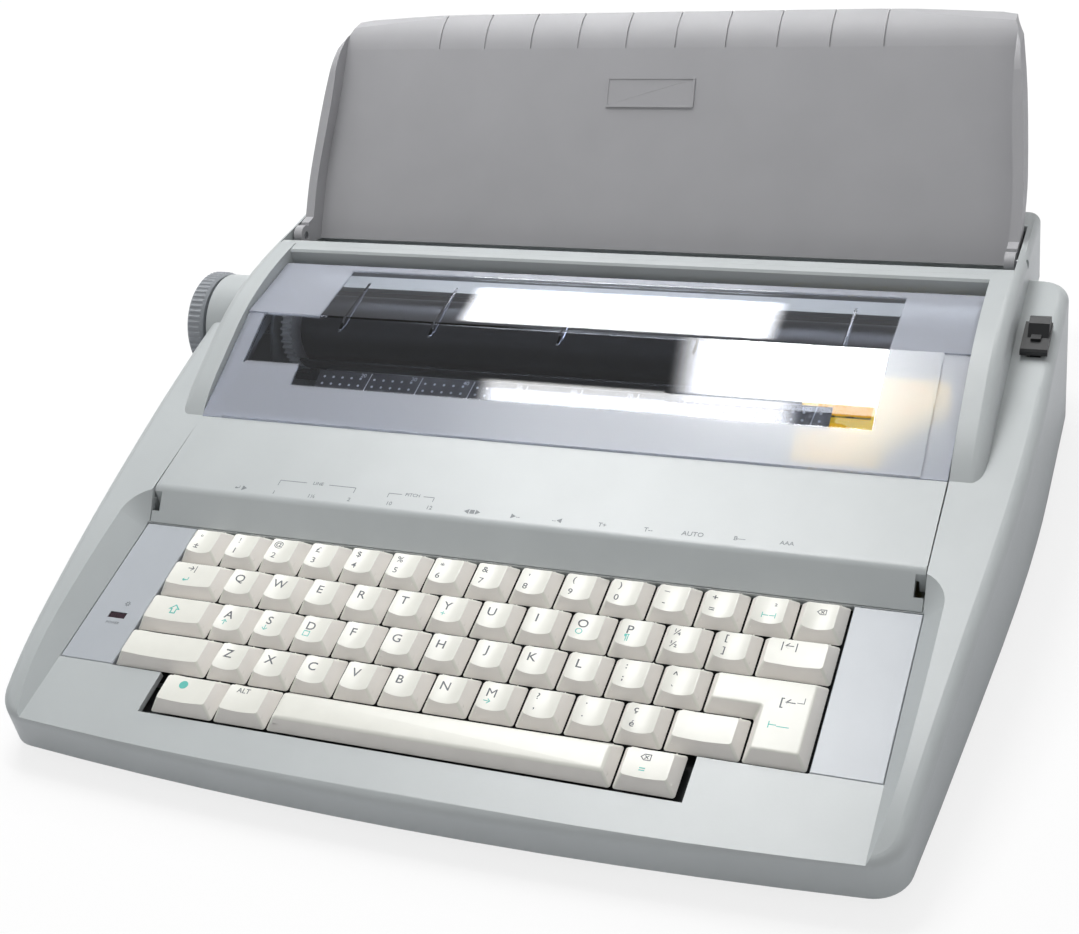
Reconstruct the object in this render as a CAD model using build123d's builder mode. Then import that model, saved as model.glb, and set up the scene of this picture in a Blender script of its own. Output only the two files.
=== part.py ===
# Electronic typewriter: a low moulded case with a sloping keyboard, a hinged cover with a clear
# window over the print carriage, a rubber platen with a knob on its left end, and a paper support
# that folds up behind it.
# Millimetres. X is to the right, Y to the rear, Z up. The machine is drawn with its centre line at
# X = 0, its front edge at Y = 0 and the table at Z = 0, and is moved to its own frame when written.

from build123d import *
import math
import os

os.makedirs("parts", exist_ok=True)

# Keyboard
key_pitch = 19.05
key_gap = 0.8
key_rise = 4.5
key_skirt_drop = 1.0
key_travel = 3.0
key_side_slope = 3.0
key_front_slope = 3.2
key_rear_slope = 3.6
key_wall = 3.2
key_hollow = 3.0
key_stem = 4.0
stem_clearance = 0.3
keys_across = 15
rows_above = 4

# Sloping deck that the keyboard lies in
deck_tilt = 8.0
deck_y = 39.5
deck_z = 25.1
well_half = 169.3
well_rear_v = 81.0
plate_gap = 0.3
plate_thickness = 2.0
keyboard_gap = 0.5

# Case
wall = 2.5
case_depth = 337.0
case_half_rear = 199.0
case_half_middle = 190.6
case_half_front = 181.0
front_bow = 8.1
front_corner = 14.0
rear_corner = 12.0
block_corner = 6.0
shoulder_end_y = 303.9
foot_height = 3.0
parting_z = 13.0
crease_z = 20.0
shoulder_z = 69.2
cheek_z = 83.6
cheek_inner = 168.8
cheek_outer = 181.5
cheek_front_y = 172.0
rim_radius = 4.5
bar_front_y = 275.2
bar_depth = 6.4
bar_height = 15.0
trough_half = 177.6
trough_rear_y = 320.0
cove_slope = 38.0

# Cover and window
cover_gap = 0.5
cover_front_v = 76.9
cover_edge_y = 126.6
cover_edge_z = 47.6
cover_rear_y = 171.4
cover_rear_z = 54.4
lid_bend_y = 228.0
lid_bend_z = 76.4
lid_rear_y = 269.8
lid_rear_z = 78.6
lid_thickness = 2.0
window_half = 158.0
cover_axis_y = 264.0
cover_axis_z = 72.0
pin_radius = 2.0
pin_clearance = 0.05

# Paper feed
platen_y = 257.0
platen_z = 49.0
platen_radius = 16.5
platen_half = 153.0
shaft_radius = 4.0
shaft_clearance = 0.05
knob_radius = 26.0
knob_width = 9.0
knob_start = 203.4
boss_radius = 25.0
boss_end = 201.3
roller_radius = 5.5
roller_gap = 0.15
roller_shaft_radius = 2.0
pan_gap = 1.8
pan_thickness = 1.2
frame_inner = 164.5
frame_thickness = 1.5
gear_module = 1.0
platen_teeth = 36
idler_teeth = 18
pinion_teeth = 12
gear_width = 5.0
feed_motor_y = 290.0
feed_motor_z = 25.0
feed_motor_radius = 14.0

# Paper support
support_axis_y = 297.0
support_axis_z = 79.0
support_base_half = 176.4
support_top_half = 168.6
support_corner_z = 155.1
support_thickness = 2.5
support_flange = 4.6
support_depth = 9.0
panel_foot = (309.0, 71.0)
panel_slope = 52.0
panel_height = 96.86
roll_radius = 28.6
roll_turn = 42.4
groove_count = 10
groove_pitch = 24.7
groove_centre = -2.9
groove_width = 0.9
groove_depth = 0.6

# Print carriage
rail_y = 200.0
rail_z = 20.0
rail_radius = 4.0
carriage_x = 133.0
carriage_half = 20.0
wheel_radius = 28.0
wheel_thickness = 1.2
print_angle = 35.0
belt_y = 176.0
belt_z = 20.0
pulley_x = 151.0
pulley_radius = 8.0
belt_thickness = 1.0
belt_width = 5.0

# Release lever
lever_x = 190.3
lever_pivot_y = 256.0
lever_pivot_z = 34.0

# The frame's origin is under the middle of the whole machine, knob and raised support included
machine_depth = 387.3
frame_shift = ((knob_start + knob_width - case_half_rear) / 2, -machine_depth / 2, 0.0)

half_key_field = keys_across * key_pitch / 2
floor_z = foot_height + wall
tilt = math.radians(deck_tilt)
deck = Plane(origin=(0, deck_y, deck_z), x_dir=(1, 0, 0), z_dir=(0, -math.sin(tilt), math.cos(tilt)))


def deck_point(v, w):
    """Side-view place of a point v behind the deck's origin and w above the deck."""
    y = deck_y + v * math.cos(tilt) - w * math.sin(tilt)
    z = deck_z + v * math.sin(tilt) + w * math.cos(tilt)
    return (y, z)


def side_plane(x):
    """Side view at a given X, with Y to the right and Z up."""
    return Plane.YZ.offset(x)


def write_piece(name, builder):
    piece = builder.part.moved(Location(frame_shift))
    piece.label = name
    export_step(piece, f"parts/{name}.step")


# Case

shoulder_line = [(-6.0, 16.4), (3.2, crease_z), (19.0, 26.6), (66.0, 38.2), (95.0, 43.2), (148.0, 50.6),
                 (203.0, 58.3), (270.0, 67.0), (300.0, 68.9), (case_depth + 6, shoulder_z)]
cheek_line = [(cheek_front_y, 53.5), (181.0, 59.8), (203.0, 69.4), (222.0, 76.6), (246.0, 81.8),
              (bar_front_y, cheek_z), (case_depth, cheek_z - 1.0)]


def case_outline(plane, inset):
    """The case from above: a bowed front, sides that widen to the shoulders, a narrower rear block."""
    front = case_half_front - inset
    middle = case_half_middle - inset
    rear = case_half_rear - inset
    corner_y = front_bow + inset
    rear_y = case_depth - inset
    end_y = shoulder_end_y - inset
    block = cheek_outer - inset
    with BuildSketch(plane) as outline:
        with BuildLine():
            ThreePointArc((-front, corner_y), (0, inset), (front, corner_y))
            Spline((front, corner_y), (middle, 100), (rear, 230), tangents=[(0.12, 1), (0, 1)])
            Polyline((rear, 230), (rear, end_y), (block, end_y), (block, rear_y), (-block, rear_y),
                     (-block, end_y), (-rear, end_y), (-rear, 230))
            Spline((-rear, 230), (-middle, 100), (-front, corner_y), tangents=[(0, -1), (0.12, -1)])
        make_face()
        front_corners = [c for c in outline.vertices() if abs(c.Y - corner_y) < 0.1]
        fillet(front_corners, radius=front_corner - inset)
        shoulder_corners = [c for c in outline.vertices() if abs(c.Y - end_y) < 0.1 and abs(c.X) > rear - 1]
        fillet(shoulder_corners, radius=rear_corner - inset)
        inner_corners = [c for c in outline.vertices() if abs(c.Y - end_y) < 0.1 and abs(c.X) < block + 1]
        fillet(inner_corners, radius=2 + inset)
        block_corners = [c for c in outline.vertices() if abs(c.Y - rear_y) < 0.1]
        fillet(block_corners, radius=block_corner - inset)
    return outline


def shoulder_profile(inset, bottom):
    """Side view of the case up to the tops of its arms and shoulders."""
    points = [(y, z - inset) for y, z in shoulder_line]
    with BuildSketch(side_plane(-case_half_rear - 5)) as profile:
        with BuildLine():
            Spline(*points)
            Polyline(points[-1], (points[-1][0], bottom), (points[0][0], bottom), points[0])
        make_face()
    return profile


def case_form(inset, bottom):
    """The upper case as a closed form, its faces moved inwards by the inset."""
    with BuildPart() as form:
        extrude(shoulder_profile(inset, bottom).sketch, amount=2 * case_half_rear + 10)
        extrude(case_outline(Plane.XY.offset(bottom), inset).sketch, amount=120, mode=Mode.INTERSECT)
        if inset == 0:
            rim = [edge for edge in form.edges() if edge.center().Z > parting_z + 3
                   and edge.geom_type != GeomType.LINE]
            fillet(rim, radius=rim_radius)
        with BuildSketch(deck.offset(-inset)):
            with Locations((0, (well_rear_v - 120) / 2)):
                RectangleRounded(2 * (well_half + 0.6 * inset), well_rear_v + 120, 8)
        extrude(amount=45, taper=-cove_slope, mode=Mode.SUBTRACT)
    return form


def cheek_form(side, inset):
    """The raised band beside the window, from its round front end to the rear of the case."""
    inner = cheek_inner + inset
    points = [(min(y, case_depth - inset), z - inset) for y, z in cheek_line]
    with BuildPart() as cheek:
        with BuildSketch(side_plane(side * inner)):
            with BuildLine():
                Spline(*points)
                Polyline(points[-1], (case_depth - inset, 50), (cheek_front_y, 50), points[0])
            make_face()
        extrude(amount=side * (cheek_outer - inset - inner))
        if inset == 0:
            outer_top = cheek.edges().filter_by(lambda e: e.center().Z > 60 and e.length > 100)
            outer_top = outer_top.sort_by(Axis.X)
            fillet(outer_top[-1] if side > 0 else outer_top[0], radius=5)
    return cheek


def make_upper_case():
    with BuildPart() as case:
        add(case_form(0, parting_z).part)
        for side in (1, -1):
            add(cheek_form(side, 0).part)
        add(case_form(wall, parting_z - 5).part, mode=Mode.SUBTRACT)
        for side in (1, -1):
            add(cheek_form(side, wall).part, mode=Mode.SUBTRACT)
        # the opening under the cover and window, and the trough that the support stands in
        opening_front = deck_point(well_rear_v, 0)[0]
        bar_rear = bar_front_y + bar_depth
        with BuildSketch(Plane.XY.offset(parting_z)):
            with Locations((0, (opening_front + bar_rear) / 2)):
                Rectangle(2 * cheek_inner, bar_rear - opening_front)
        extrude(amount=80, mode=Mode.SUBTRACT)
        with BuildSketch(deck):
            with Locations((0, well_rear_v)):
                Rectangle(2 * cheek_inner, 10)
        extrude(amount=40, mode=Mode.SUBTRACT)
        with BuildSketch(Plane.XY.offset(50)):
            with Locations((0, (bar_rear + trough_rear_y) / 2)):
                Rectangle(2 * trough_half, trough_rear_y - bar_rear)
        extrude(amount=50, mode=Mode.SUBTRACT)
        # room above the trough's rear wall for the support, which leans back there
        with BuildSketch(Plane.XY.offset(72)):
            with Locations((0, trough_rear_y)):
                Rectangle(2 * trough_half, 8)
        extrude(amount=20, mode=Mode.SUBTRACT)
        # side walls that hang inside the opening, and the walls of the trough
        for side in (1, -1):
            with BuildSketch(side_plane(side * cheek_inner)):
                with BuildLine():
                    Polyline((123, 42.2), (170, 48.5), (205, 66), (246, 79), (bar_rear, 81), (bar_rear, 67),
                             (205, 53), (123, 34), close=True)
                make_face()
            extrude(amount=side * wall)
            with BuildSketch(side_plane(side * trough_half)):
                with BuildLine():
                    Polyline((bar_rear - 3, 56), (bar_rear - 3, 82), (case_depth - 6, 82),
                             (case_depth - 6, 56), close=True)
                make_face()
            extrude(amount=side * 2.2)
        # cross bar behind the window, a little lower than the cheeks that it runs into
        bar_z = cheek_z - 0.6
        with BuildSketch(side_plane(-cheek_inner - 2)):
            with BuildLine():
                Polyline((bar_front_y, cheek_z - bar_height), (bar_front_y, bar_z - 1),
                         (bar_front_y + 1, bar_z), (bar_rear - 1, bar_z), (bar_rear, bar_z - 1),
                         (bar_rear, cheek_z - bar_height), close=True)
            make_face()
        extrude(amount=2 * cheek_inner + 4)
        # trough floor, which slopes down to the platen, and its rear wall
        with BuildSketch(side_plane(-trough_half - 1)):
            with BuildLine():
                Polyline((288, 54), (trough_rear_y, 61), (trough_rear_y, shoulder_z - 0.5),
                         (trough_rear_y + wall, shoulder_z - 0.5), (trough_rear_y + wall, 58.5), (288, 51.5),
                         close=True)
            make_face()
        extrude(amount=2 * trough_half + 2)
        # shelves that the side plates lie on
        shelf_v = (rows_above * key_pitch) / 2
        with BuildSketch(deck.offset(-plate_thickness - plate_gap - 2.2)):
            for side in (1, -1):
                with Locations((side * (half_key_field + well_half + 2) / 2, shelf_v)):
                    Rectangle(well_half + 2 - half_key_field, rows_above * key_pitch + 5)
        extrude(amount=2.2)
        # keyboard opening, its notch for the front row, and the recesses of the side plates
        with BuildSketch(deck.offset(1)):
            with Locations((0, shelf_v - 0.1)):
                Rectangle(2 * (half_key_field + keyboard_gap), rows_above * key_pitch + 0.9)
            notch_left = -half_key_field + 1.25 * key_pitch - keyboard_gap
            notch_right = 103.4 + keyboard_gap
            with Locations(((notch_left + notch_right) / 2, -10)):
                Rectangle(notch_right - notch_left, 20.6)
        extrude(amount=-12, mode=Mode.SUBTRACT)
        with BuildSketch(deck.offset(1)):
            for side in (1, -1):
                with Locations((side * (half_key_field + well_half) / 2, shelf_v)):
                    Rectangle(well_half - half_key_field, rows_above * key_pitch + 0.6)
        extrude(amount=-1 - plate_thickness - plate_gap, mode=Mode.SUBTRACT)
        # bosses for the case screws
        for x, y, top in screw_places:
            for side in (1, -1):
                with BuildSketch(Plane.XY.offset(boss_z)):
                    with Locations((side * x, y)):
                        Circle(4.2)
                        Circle(screw_radius - 0.3, mode=Mode.SUBTRACT)
                extrude(amount=top - boss_z)
        # holes: platen shaft, cover pins, support pins, lever slot, mains inlet, power switch
        with BuildSketch(side_plane(-cheek_outer + 0.5)):
            with Locations((platen_y, platen_z)):
                Circle(boss_radius)
        extrude(amount=cheek_outer - 0.5 - boss_end)
        with BuildSketch(side_plane(-cheek_outer + 0.6)):
            with Locations((platen_y, platen_z)):
                Circle(boss_radius - wall)
        extrude(amount=cheek_outer - 0.6 + wall - boss_end, mode=Mode.SUBTRACT)
        with BuildSketch(side_plane(-boss_end - 1)):
            with Locations((platen_y, platen_z)):
                Circle(shaft_radius + 3)
        extrude(amount=10, mode=Mode.SUBTRACT)
        for side in (1, -1):
            with BuildSketch(side_plane(side * (cheek_inner - 1))):
                with Locations((cover_axis_y, cover_axis_z)):
                    Circle(pin_radius + pin_clearance)
            extrude(amount=side * (wall + 2), mode=Mode.SUBTRACT)
            with BuildSketch(side_plane(side * (trough_half - 1))):
                with Locations((support_axis_y, support_axis_z)):
                    Circle(pin_radius + pin_clearance)
            extrude(amount=side * 7, mode=Mode.SUBTRACT)
        with BuildSketch(Plane.XY.offset(50)):
            with Locations((lever_x, lever_pivot_y - 2.2)):
                Rectangle(6, 13.5)
        extrude(amount=30, mode=Mode.SUBTRACT)
        with BuildSketch(Plane.XZ.offset(-case_depth - 1)):
            with Locations((inlet_x, inlet_z)):
                Rectangle(inlet_width + 0.6, inlet_height + 0.6)
            with Locations((switch_x, inlet_z)):
                Rectangle(switch_width + 0.6, switch_height + 0.6)
        extrude(amount=6, mode=Mode.SUBTRACT)
        with BuildSketch(Plane.XZ.offset(-case_depth - 1)):
            with GridLocations(8, 1, 14, 1):
                with Locations((-80, 34)):
                    SlotOverall(24, 3, rotation=90)
        extrude(amount=6, mode=Mode.SUBTRACT)
    return case


def make_lower_case():
    with BuildPart() as case:
        extrude(case_outline(Plane.XY.offset(foot_height), 0).sketch, amount=parting_z - foot_height)
        bottom = case.faces().sort_by(Axis.Z)[0]
        chamfer(bottom.edges(), length=2)
        extrude(case_outline(Plane.XY.offset(floor_z), wall).sketch, amount=parting_z, mode=Mode.SUBTRACT)
        for x, y, top in screw_places:
            for side in (1, -1):
                with BuildSketch(Plane.XY.offset(foot_height)):
                    with Locations((side * x, y)):
                        Circle(5)
                extrude(amount=boss_z - foot_height)
                with BuildSketch(Plane.XY.offset(foot_height)):
                    with Locations((side * x, y)):
                        Circle(screw_radius + 0.2)
                extrude(amount=boss_z, mode=Mode.SUBTRACT)
                with BuildSketch(Plane.XY.offset(foot_height)):
                    with Locations((side * x, y)):
                        Circle(screw_head_radius + 0.4)
                extrude(amount=screw_sink, mode=Mode.SUBTRACT)
        # pin of the belt's idler pulley
        with BuildSketch(Plane.XY.offset(floor_z - 0.5)):
            with Locations((pulley_x, belt_y)):
                Circle(pin_radius)
        extrude(amount=belt_z + belt_width / 2 + 1.5 - floor_z)
        with BuildSketch(Plane.XY.offset(floor_z - 0.5)):
            with Locations((pulley_x, belt_y)):
                Circle(5)
        extrude(amount=belt_z - belt_width / 2 - 1.2 - floor_z)
        # posts under the keyboard and the circuit board, and ribs across the floor
        for x in (-120, -40, 40, 120):
            for v in (-14, 70):
                y, z = deck_point(v, keyboard_bottom)
                with BuildSketch(Plane.XY.offset(floor_z - 0.5)):
                    with Locations((x, y)):
                        Circle(3)
                extrude(amount=z - floor_z - 0.2)
        for x in (-board_half + 6, board_half - 6):
            for y in (board_front_y + 5, board_rear_y - 5):
                with BuildSketch(Plane.XY.offset(floor_z - 0.5)):
                    with Locations((x, y)):
                        Circle(3)
                extrude(amount=board_z - floor_z + 0.5)
        with BuildSketch(Plane.XY.offset(foot_height - 1)):
            with GridLocations(12, 1, 9, 1):
                with Locations((0, 150)):
                    SlotOverall(40, 4, rotation=90)
        extrude(amount=wall + 3, mode=Mode.SUBTRACT)
    return case


# Screws and feet

screw_places = [(179.0, 70.0, 36.0), (187.0, 205.0, 56.5), (188.0, 289.0, 66.2)]
boss_z = 20.0
screw_radius = 1.6
screw_head_radius = 3.0
screw_sink = 4.0
screw_length = 24.0
foot_radius = 8.0


def make_case_screws():
    with BuildPart() as screws:
        for x, y, top in screw_places:
            for side in (1, -1):
                with BuildSketch(Plane.XY.offset(foot_height + screw_sink - 2.2)):
                    with Locations((side * x, y)):
                        Circle(screw_head_radius)
                extrude(amount=2.2)
                with BuildSketch(Plane.XY.offset(foot_height + screw_sink)):
                    with Locations((side * x, y)):
                        Circle(screw_radius - 0.35)
                extrude(amount=screw_length)
                with BuildSketch(Plane.XY.offset(foot_height + screw_sink - 2.2)):
                    with Locations((side * x, y)):
                        Rectangle(3.6, 0.8)
                        Rectangle(0.8, 3.6)
                extrude(amount=1.2, mode=Mode.SUBTRACT)
    return screws


def make_feet():
    with BuildPart() as feet:
        with BuildSketch():
            for side in (1, -1):
                with Locations((side * 155, 34), (side * 172, 300)):
                    Circle(foot_radius)
        extrude(amount=foot_height)
        chamfer(feet.faces().sort_by(Axis.Z)[0:4].edges(), length=0.8)
    return feet


# Side plates beside the keys, and the lamp window in the left one

lamp_u = -155.2
lamp_v = 24.4
lamp_width = 8.0
lamp_height = 3.0


def make_side_plate(side):
    with BuildPart() as plate:
        inner = half_key_field + 0.8
        outer = well_half - plate_gap
        with BuildSketch(deck.offset(-plate_thickness)):
            with Locations((side * (inner + outer) / 2, rows_above * key_pitch / 2)):
                Rectangle(outer - inner, rows_above * key_pitch)
            if side < 0:
                with Locations((lamp_u, lamp_v)):
                    Rectangle(lamp_width + 0.2, lamp_height + 0.2, mode=Mode.SUBTRACT)
        extrude(amount=plate_thickness)
        tops = plate.faces().filter_by(lambda face: face.normal_at().dot(deck.z_dir) > 0.99)
        chamfer(tops[0].outer_wire().edges(), length=0.3)
    return plate


def make_lamp_window():
    with BuildPart() as window:
        with BuildSketch(deck.offset(-plate_thickness)):
            with Locations((lamp_u, lamp_v)):
                Rectangle(lamp_width, lamp_height)
        extrude(amount=plate_thickness - 0.3)
    return window


# Cover over the carriage, with the clear window that turns with it

def make_top_cover():
    front_y, front_z = deck_point(cover_front_v, 0.4)
    outer = [(front_y, front_z), (cover_edge_y, cover_edge_z), (cover_rear_y, cover_rear_z)]
    half = cheek_inner - cover_gap
    with BuildPart() as cover:
        with BuildSketch(side_plane(-half)) as sheet:
            with BuildLine():
                Polyline(outer[0], outer[1], outer[2], (cover_rear_y, cover_rear_z - wall),
                         (cover_edge_y + 1.2, cover_edge_z - wall), (front_y + 3.5, front_z + 0.9),
                         close=True)
            make_face()
            bend = sheet.vertices().filter_by(lambda v: abs(v.Y - cover_edge_z) < 1.0 or
                                              abs(v.Z - cover_edge_z) < 0.01)
            fillet(bend, radius=5)
        extrude(amount=2 * half)
        # end walls and stiffening ribs
        for x in (-half, -85, 0, 85, half - wall):
            with BuildSketch(side_plane(x)):
                with BuildLine():
                    Polyline((front_y + 3, front_z + 1), (cover_edge_y + 1.5, cover_edge_z - wall + 0.5),
                             (cover_rear_y - 1, cover_rear_z - wall + 0.5), (cover_rear_y - 1, 44),
                             (cover_edge_y + 4, front_z + 2), close=True)
                make_face()
            extrude(amount=wall)
        # ledge that the window's front edge lies on
        with BuildSketch(side_plane(-half + 3)):
            with BuildLine():
                Polyline((cover_rear_y - 3, cover_rear_z - wall + 0.2),
                         (cover_rear_y - 3, cover_rear_z - 4.6),
                         (cover_rear_y + 5, cover_rear_z - 2.4), (cover_rear_y + 5, cover_rear_z - 0.8),
                         (cover_rear_y, cover_rear_z - wall - 0.1), close=True)
            make_face()
        extrude(amount=2 * half - 6)
        # finger notches at the two ends of the front slope
        for side in (1, -1):
            with BuildSketch(Plane.XY.offset(30)):
                with Locations((side * (half - 1.8), cover_edge_y - 4.5)):
                    Rectangle(3.8, 6)
            extrude(amount=30, mode=Mode.SUBTRACT)
    return cover


fin_places = (-117, -71, -8.5, 54, 116)


def make_clear_lid():
    half = cheek_inner - cover_gap
    front = (cover_rear_y + 0.4, cover_rear_z + 1.0)
    with BuildPart() as lid:
        with BuildSketch(side_plane(-half)):
            with BuildLine():
                Polyline(front, (lid_bend_y, lid_bend_z), (lid_rear_y, lid_rear_z),
                         (lid_rear_y, lid_rear_z - lid_thickness),
                         (lid_bend_y + 0.4, lid_bend_z - lid_thickness),
                         (front[0], front[1] - lid_thickness), close=True)
            make_face()
        extrude(amount=2 * half)
        # the borders beside the window lie a step lower than the window itself
        for side in (1, -1):
            with BuildSketch(side_plane(side * window_half)):
                with BuildLine():
                    Polyline((front[0] - 1, front[1] + 3), (lid_bend_y, lid_bend_z + 3),
                             (lid_bend_y, lid_bend_z - 0.8), (front[0] - 1, front[1] - 1.1), close=True)
                make_face()
            extrude(amount=side * 20, mode=Mode.SUBTRACT)
            with BuildSketch(side_plane(side * (half - 2))):
                with BuildLine():
                    Polyline((front[0] + 2, front[1] - 1.6), (lid_bend_y, lid_bend_z - 1.5),
                             (lid_rear_y - 0.5, lid_rear_z - 1), (lid_rear_y - 1.5, cover_axis_z - 4),
                             (cover_axis_y - 6, cover_axis_z - 4), (lid_bend_y, lid_bend_z - 7),
                             (front[0] + 8, front[1] - 4), close=True)
                make_face()
            extrude(amount=side * 2)
            with BuildSketch(side_plane(side * (half - 3))):
                with Locations((cover_axis_y, cover_axis_z)):
                    Circle(pin_radius + pin_clearance)
            extrude(amount=side * 5, mode=Mode.SUBTRACT)
        # fins that lead the paper up behind the window
        for x in fin_places:
            with BuildSketch(side_plane(x - 0.6)):
                with BuildLine():
                    Polyline((lid_bend_y - 9, lid_bend_z - 4.6), (lid_bend_y, lid_bend_z - 1.2),
                             (lid_rear_y - 3, lid_rear_z - 1.2), (lid_bend_y, lid_bend_z - 5.0), close=True)
                make_face()
            extrude(amount=1.2)
    return lid


def make_cover_pins():
    with BuildPart() as pins:
        for side in (1, -1):
            with BuildSketch(side_plane(side * (cheek_inner - cover_gap - 2.6))):
                with Locations((cover_axis_y, cover_axis_z)):
                    Circle(pin_radius)
            extrude(amount=side * (2.6 + cover_gap + wall - 0.2))
    return pins


scale_half = 118.0
scale_front_y = 190.5
scale_depth = 11.0
scale_thickness = 0.4


def make_scale_strip():
    """Black strip with the typing scale, bonded under the front of the window."""
    slope = math.atan2(lid_bend_z - cover_rear_z - 1.0, lid_bend_y - cover_rear_y - 0.4)
    under = cover_rear_z + 1.0 + (scale_front_y - cover_rear_y - 0.4) * math.tan(slope)
    under -= lid_thickness / math.cos(slope) + 0.05
    sheet = Plane(origin=(0, scale_front_y, under), x_dir=(1, 0, 0),
                  z_dir=(0, -math.sin(slope), math.cos(slope)))
    with BuildPart() as strip:
        with BuildSketch(sheet.offset(-scale_thickness)):
            with Locations((0, scale_depth / 2)):
                Rectangle(2 * scale_half, scale_depth)
        extrude(amount=scale_thickness)
    return strip


# Keys

def cap_outline(width, depth, corner):
    """Corner points of a rectangle with its corners cut off."""
    half_x = width / 2
    half_y = depth / 2
    return [(half_x - corner, -half_y), (half_x, corner - half_y), (half_x, half_y - corner),
            (half_x - corner, half_y), (corner - half_x, half_y), (-half_x, half_y - corner),
            (-half_x, corner - half_y), (corner - half_x, -half_y)]


def key_cap(width, depth, dish):
    """One key at the deck's origin: a sloping skirt, a dished top and a square stem."""
    base_width = width - key_gap
    base_depth = depth - key_gap
    top_width = base_width - 2 * key_side_slope
    top_depth = base_depth - key_front_slope - key_rear_slope
    top_shift = (key_front_slope - key_rear_slope) / 2
    with BuildPart() as key:
        with BuildSketch(Plane.XY.offset(-key_skirt_drop)):
            Polygon(*cap_outline(base_width, base_depth, 0.6), align=None)
        with BuildSketch(Plane.XY.offset(key_rise)):
            with Locations((0, top_shift)):
                Polygon(*cap_outline(top_width, top_depth, 1.2), align=None)
        loft()
        if dish:
            with BuildSketch(Plane.XZ.offset(-depth)):
                with Locations((0, key_rise + dish_radius - dish_depth)):
                    Circle(dish_radius)
            extrude(amount=2 * depth, mode=Mode.SUBTRACT)
        with BuildSketch(Plane.XY.offset(-key_skirt_drop)):
            Rectangle(base_width - 2 * key_wall, base_depth - 2 * key_wall)
        extrude(amount=key_hollow, mode=Mode.SUBTRACT)
        with BuildSketch(Plane.XY.offset(stem_bottom)):
            Rectangle(key_stem, key_stem)
        extrude(amount=stem_top - stem_bottom)
    return key


dish_radius = 22.0
dish_depth = 1.1
keyboard_plate_top = -5.2
keyboard_plate_thickness = 1.6
dome_sheet_thickness = 3.6
board_thickness = 1.6
stem_bottom = keyboard_plate_top - keyboard_plate_thickness - 0.3
stem_top = key_hollow - key_skirt_drop + 0.6
keyboard_bottom = keyboard_plate_top - keyboard_plate_thickness - dome_sheet_thickness - board_thickness


def key_centre(row, start, width):
    """Deck place of a key: its row counted from the front, its left edge and width in pitches."""
    u = -half_key_field + (start + width / 2) * key_pitch
    v = (row - 0.5) * key_pitch
    return (u, v)


# each row: its number from the front, the left edge of its first key and how many plain keys it has
plain_rows = {
    "number_row_keys": (4, 0.0, 15),
    "upper_letter_keys": (3, 1.5, 12),
    "home_letter_keys": (2, 1.75, 11),
    "lower_letter_keys": (1, 2.25, 10),
}

# each wide key: its row, left edge, width in pitches and whether its top is dished
wide_keys = {
    "tab_key": (3, 0.0, 1.5, False),
    "relocate_key": (3, 13.5, 1.5, False),
    "shift_lock_key": (2, 0.0, 1.75, False),
    "left_shift_key": (1, 0.0, 2.25, False),
    "right_shift_key": (1, 12.25, 1.5, False),
    "code_key": (0, 1.45, 1.5, False),
    "alternate_key": (0, 2.95, 1.25, False),
    "space_bar": (0, 4.2, 7.35, False),
    "correction_key": (0, 11.55, 1.25, False),
}


def make_key_row(row, start, count):
    key = key_cap(key_pitch, key_pitch, True).part
    with BuildPart() as keys:
        for index in range(count):
            u, v = key_centre(row, start + index, 1)
            with Locations(deck * Location((u, v, 0))):
                add(key)
    return keys


def make_wide_key(row, start, width):
    cap = key_cap(width * key_pitch, key_pitch, False).part
    u, v = key_centre(row, start, width)
    with BuildPart() as key:
        with Locations(deck * Location((u, v, 0))):
            add(cap)
    return key


return_upper = (12.75, 2.25)
return_lower = (13.75, 1.25)


def make_return_key():
    """The return key covers two rows: wide behind, narrow in front, one flat top over both."""
    wide_u, wide_v = key_centre(2, *return_upper)
    narrow_u, narrow_v = key_centre(1.5, *return_lower)
    tops = [(return_upper[1] * key_pitch, key_pitch, wide_u, wide_v),
            (return_lower[1] * key_pitch, 2 * key_pitch, narrow_u, narrow_v)]
    with BuildPart() as key:
        for width, depth, u, v in tops:
            at = deck * Location((u, v, 0))
            top = cap_outline(width - key_gap - 2 * key_side_slope,
                              depth - key_gap - key_front_slope - key_rear_slope, 1.2)
            with BuildSketch(Plane(at).offset(-key_skirt_drop)):
                Polygon(*cap_outline(width - key_gap, depth - key_gap, 0.6), align=None)
            with BuildSketch(Plane(at).offset(key_rise)):
                with Locations((0, (key_front_slope - key_rear_slope) / 2)):
                    Polygon(*top, align=None)
            loft()
        for width, depth, u, v in tops:
            at = deck * Location((u, v, 0))
            with BuildSketch(Plane(at).offset(-key_skirt_drop)):
                Rectangle(width - key_gap - 2 * key_wall, depth - key_gap - 2 * key_wall)
            extrude(amount=key_hollow, mode=Mode.SUBTRACT)
        with BuildSketch(Plane(deck * Location((narrow_u, narrow_v, stem_bottom)))):
            Rectangle(key_stem, key_stem)
        extrude(amount=stem_top - stem_bottom)
    return key


def stem_places():
    places = []
    for row, start, count in plain_rows.values():
        places += [key_centre(row, start + index, 1) for index in range(count)]
    for row, start, width, dished in wide_keys.values():
        places.append(key_centre(row, start, width))
    places.append(key_centre(1.5, *return_lower))
    return places


def keyboard_sheet(top, thickness, hole):
    """A flat layer of the keyboard with a hole at every key; no holes when hole is 0."""
    with BuildPart() as sheet:
        with BuildSketch(deck.offset(top - thickness)):
            with Locations((0, rows_above * key_pitch / 2 + 0.5)):
                Rectangle(2 * half_key_field + 4, rows_above * key_pitch + 3)
            with Locations((0, -key_pitch / 2)):
                Rectangle(2 * half_key_field - 50, key_pitch + 2)
            if hole:
                with Locations(*stem_places()):
                    Rectangle(hole, hole, mode=Mode.SUBTRACT)
        extrude(amount=thickness)
    return sheet


# Platen, its shaft, gears and knob

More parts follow.
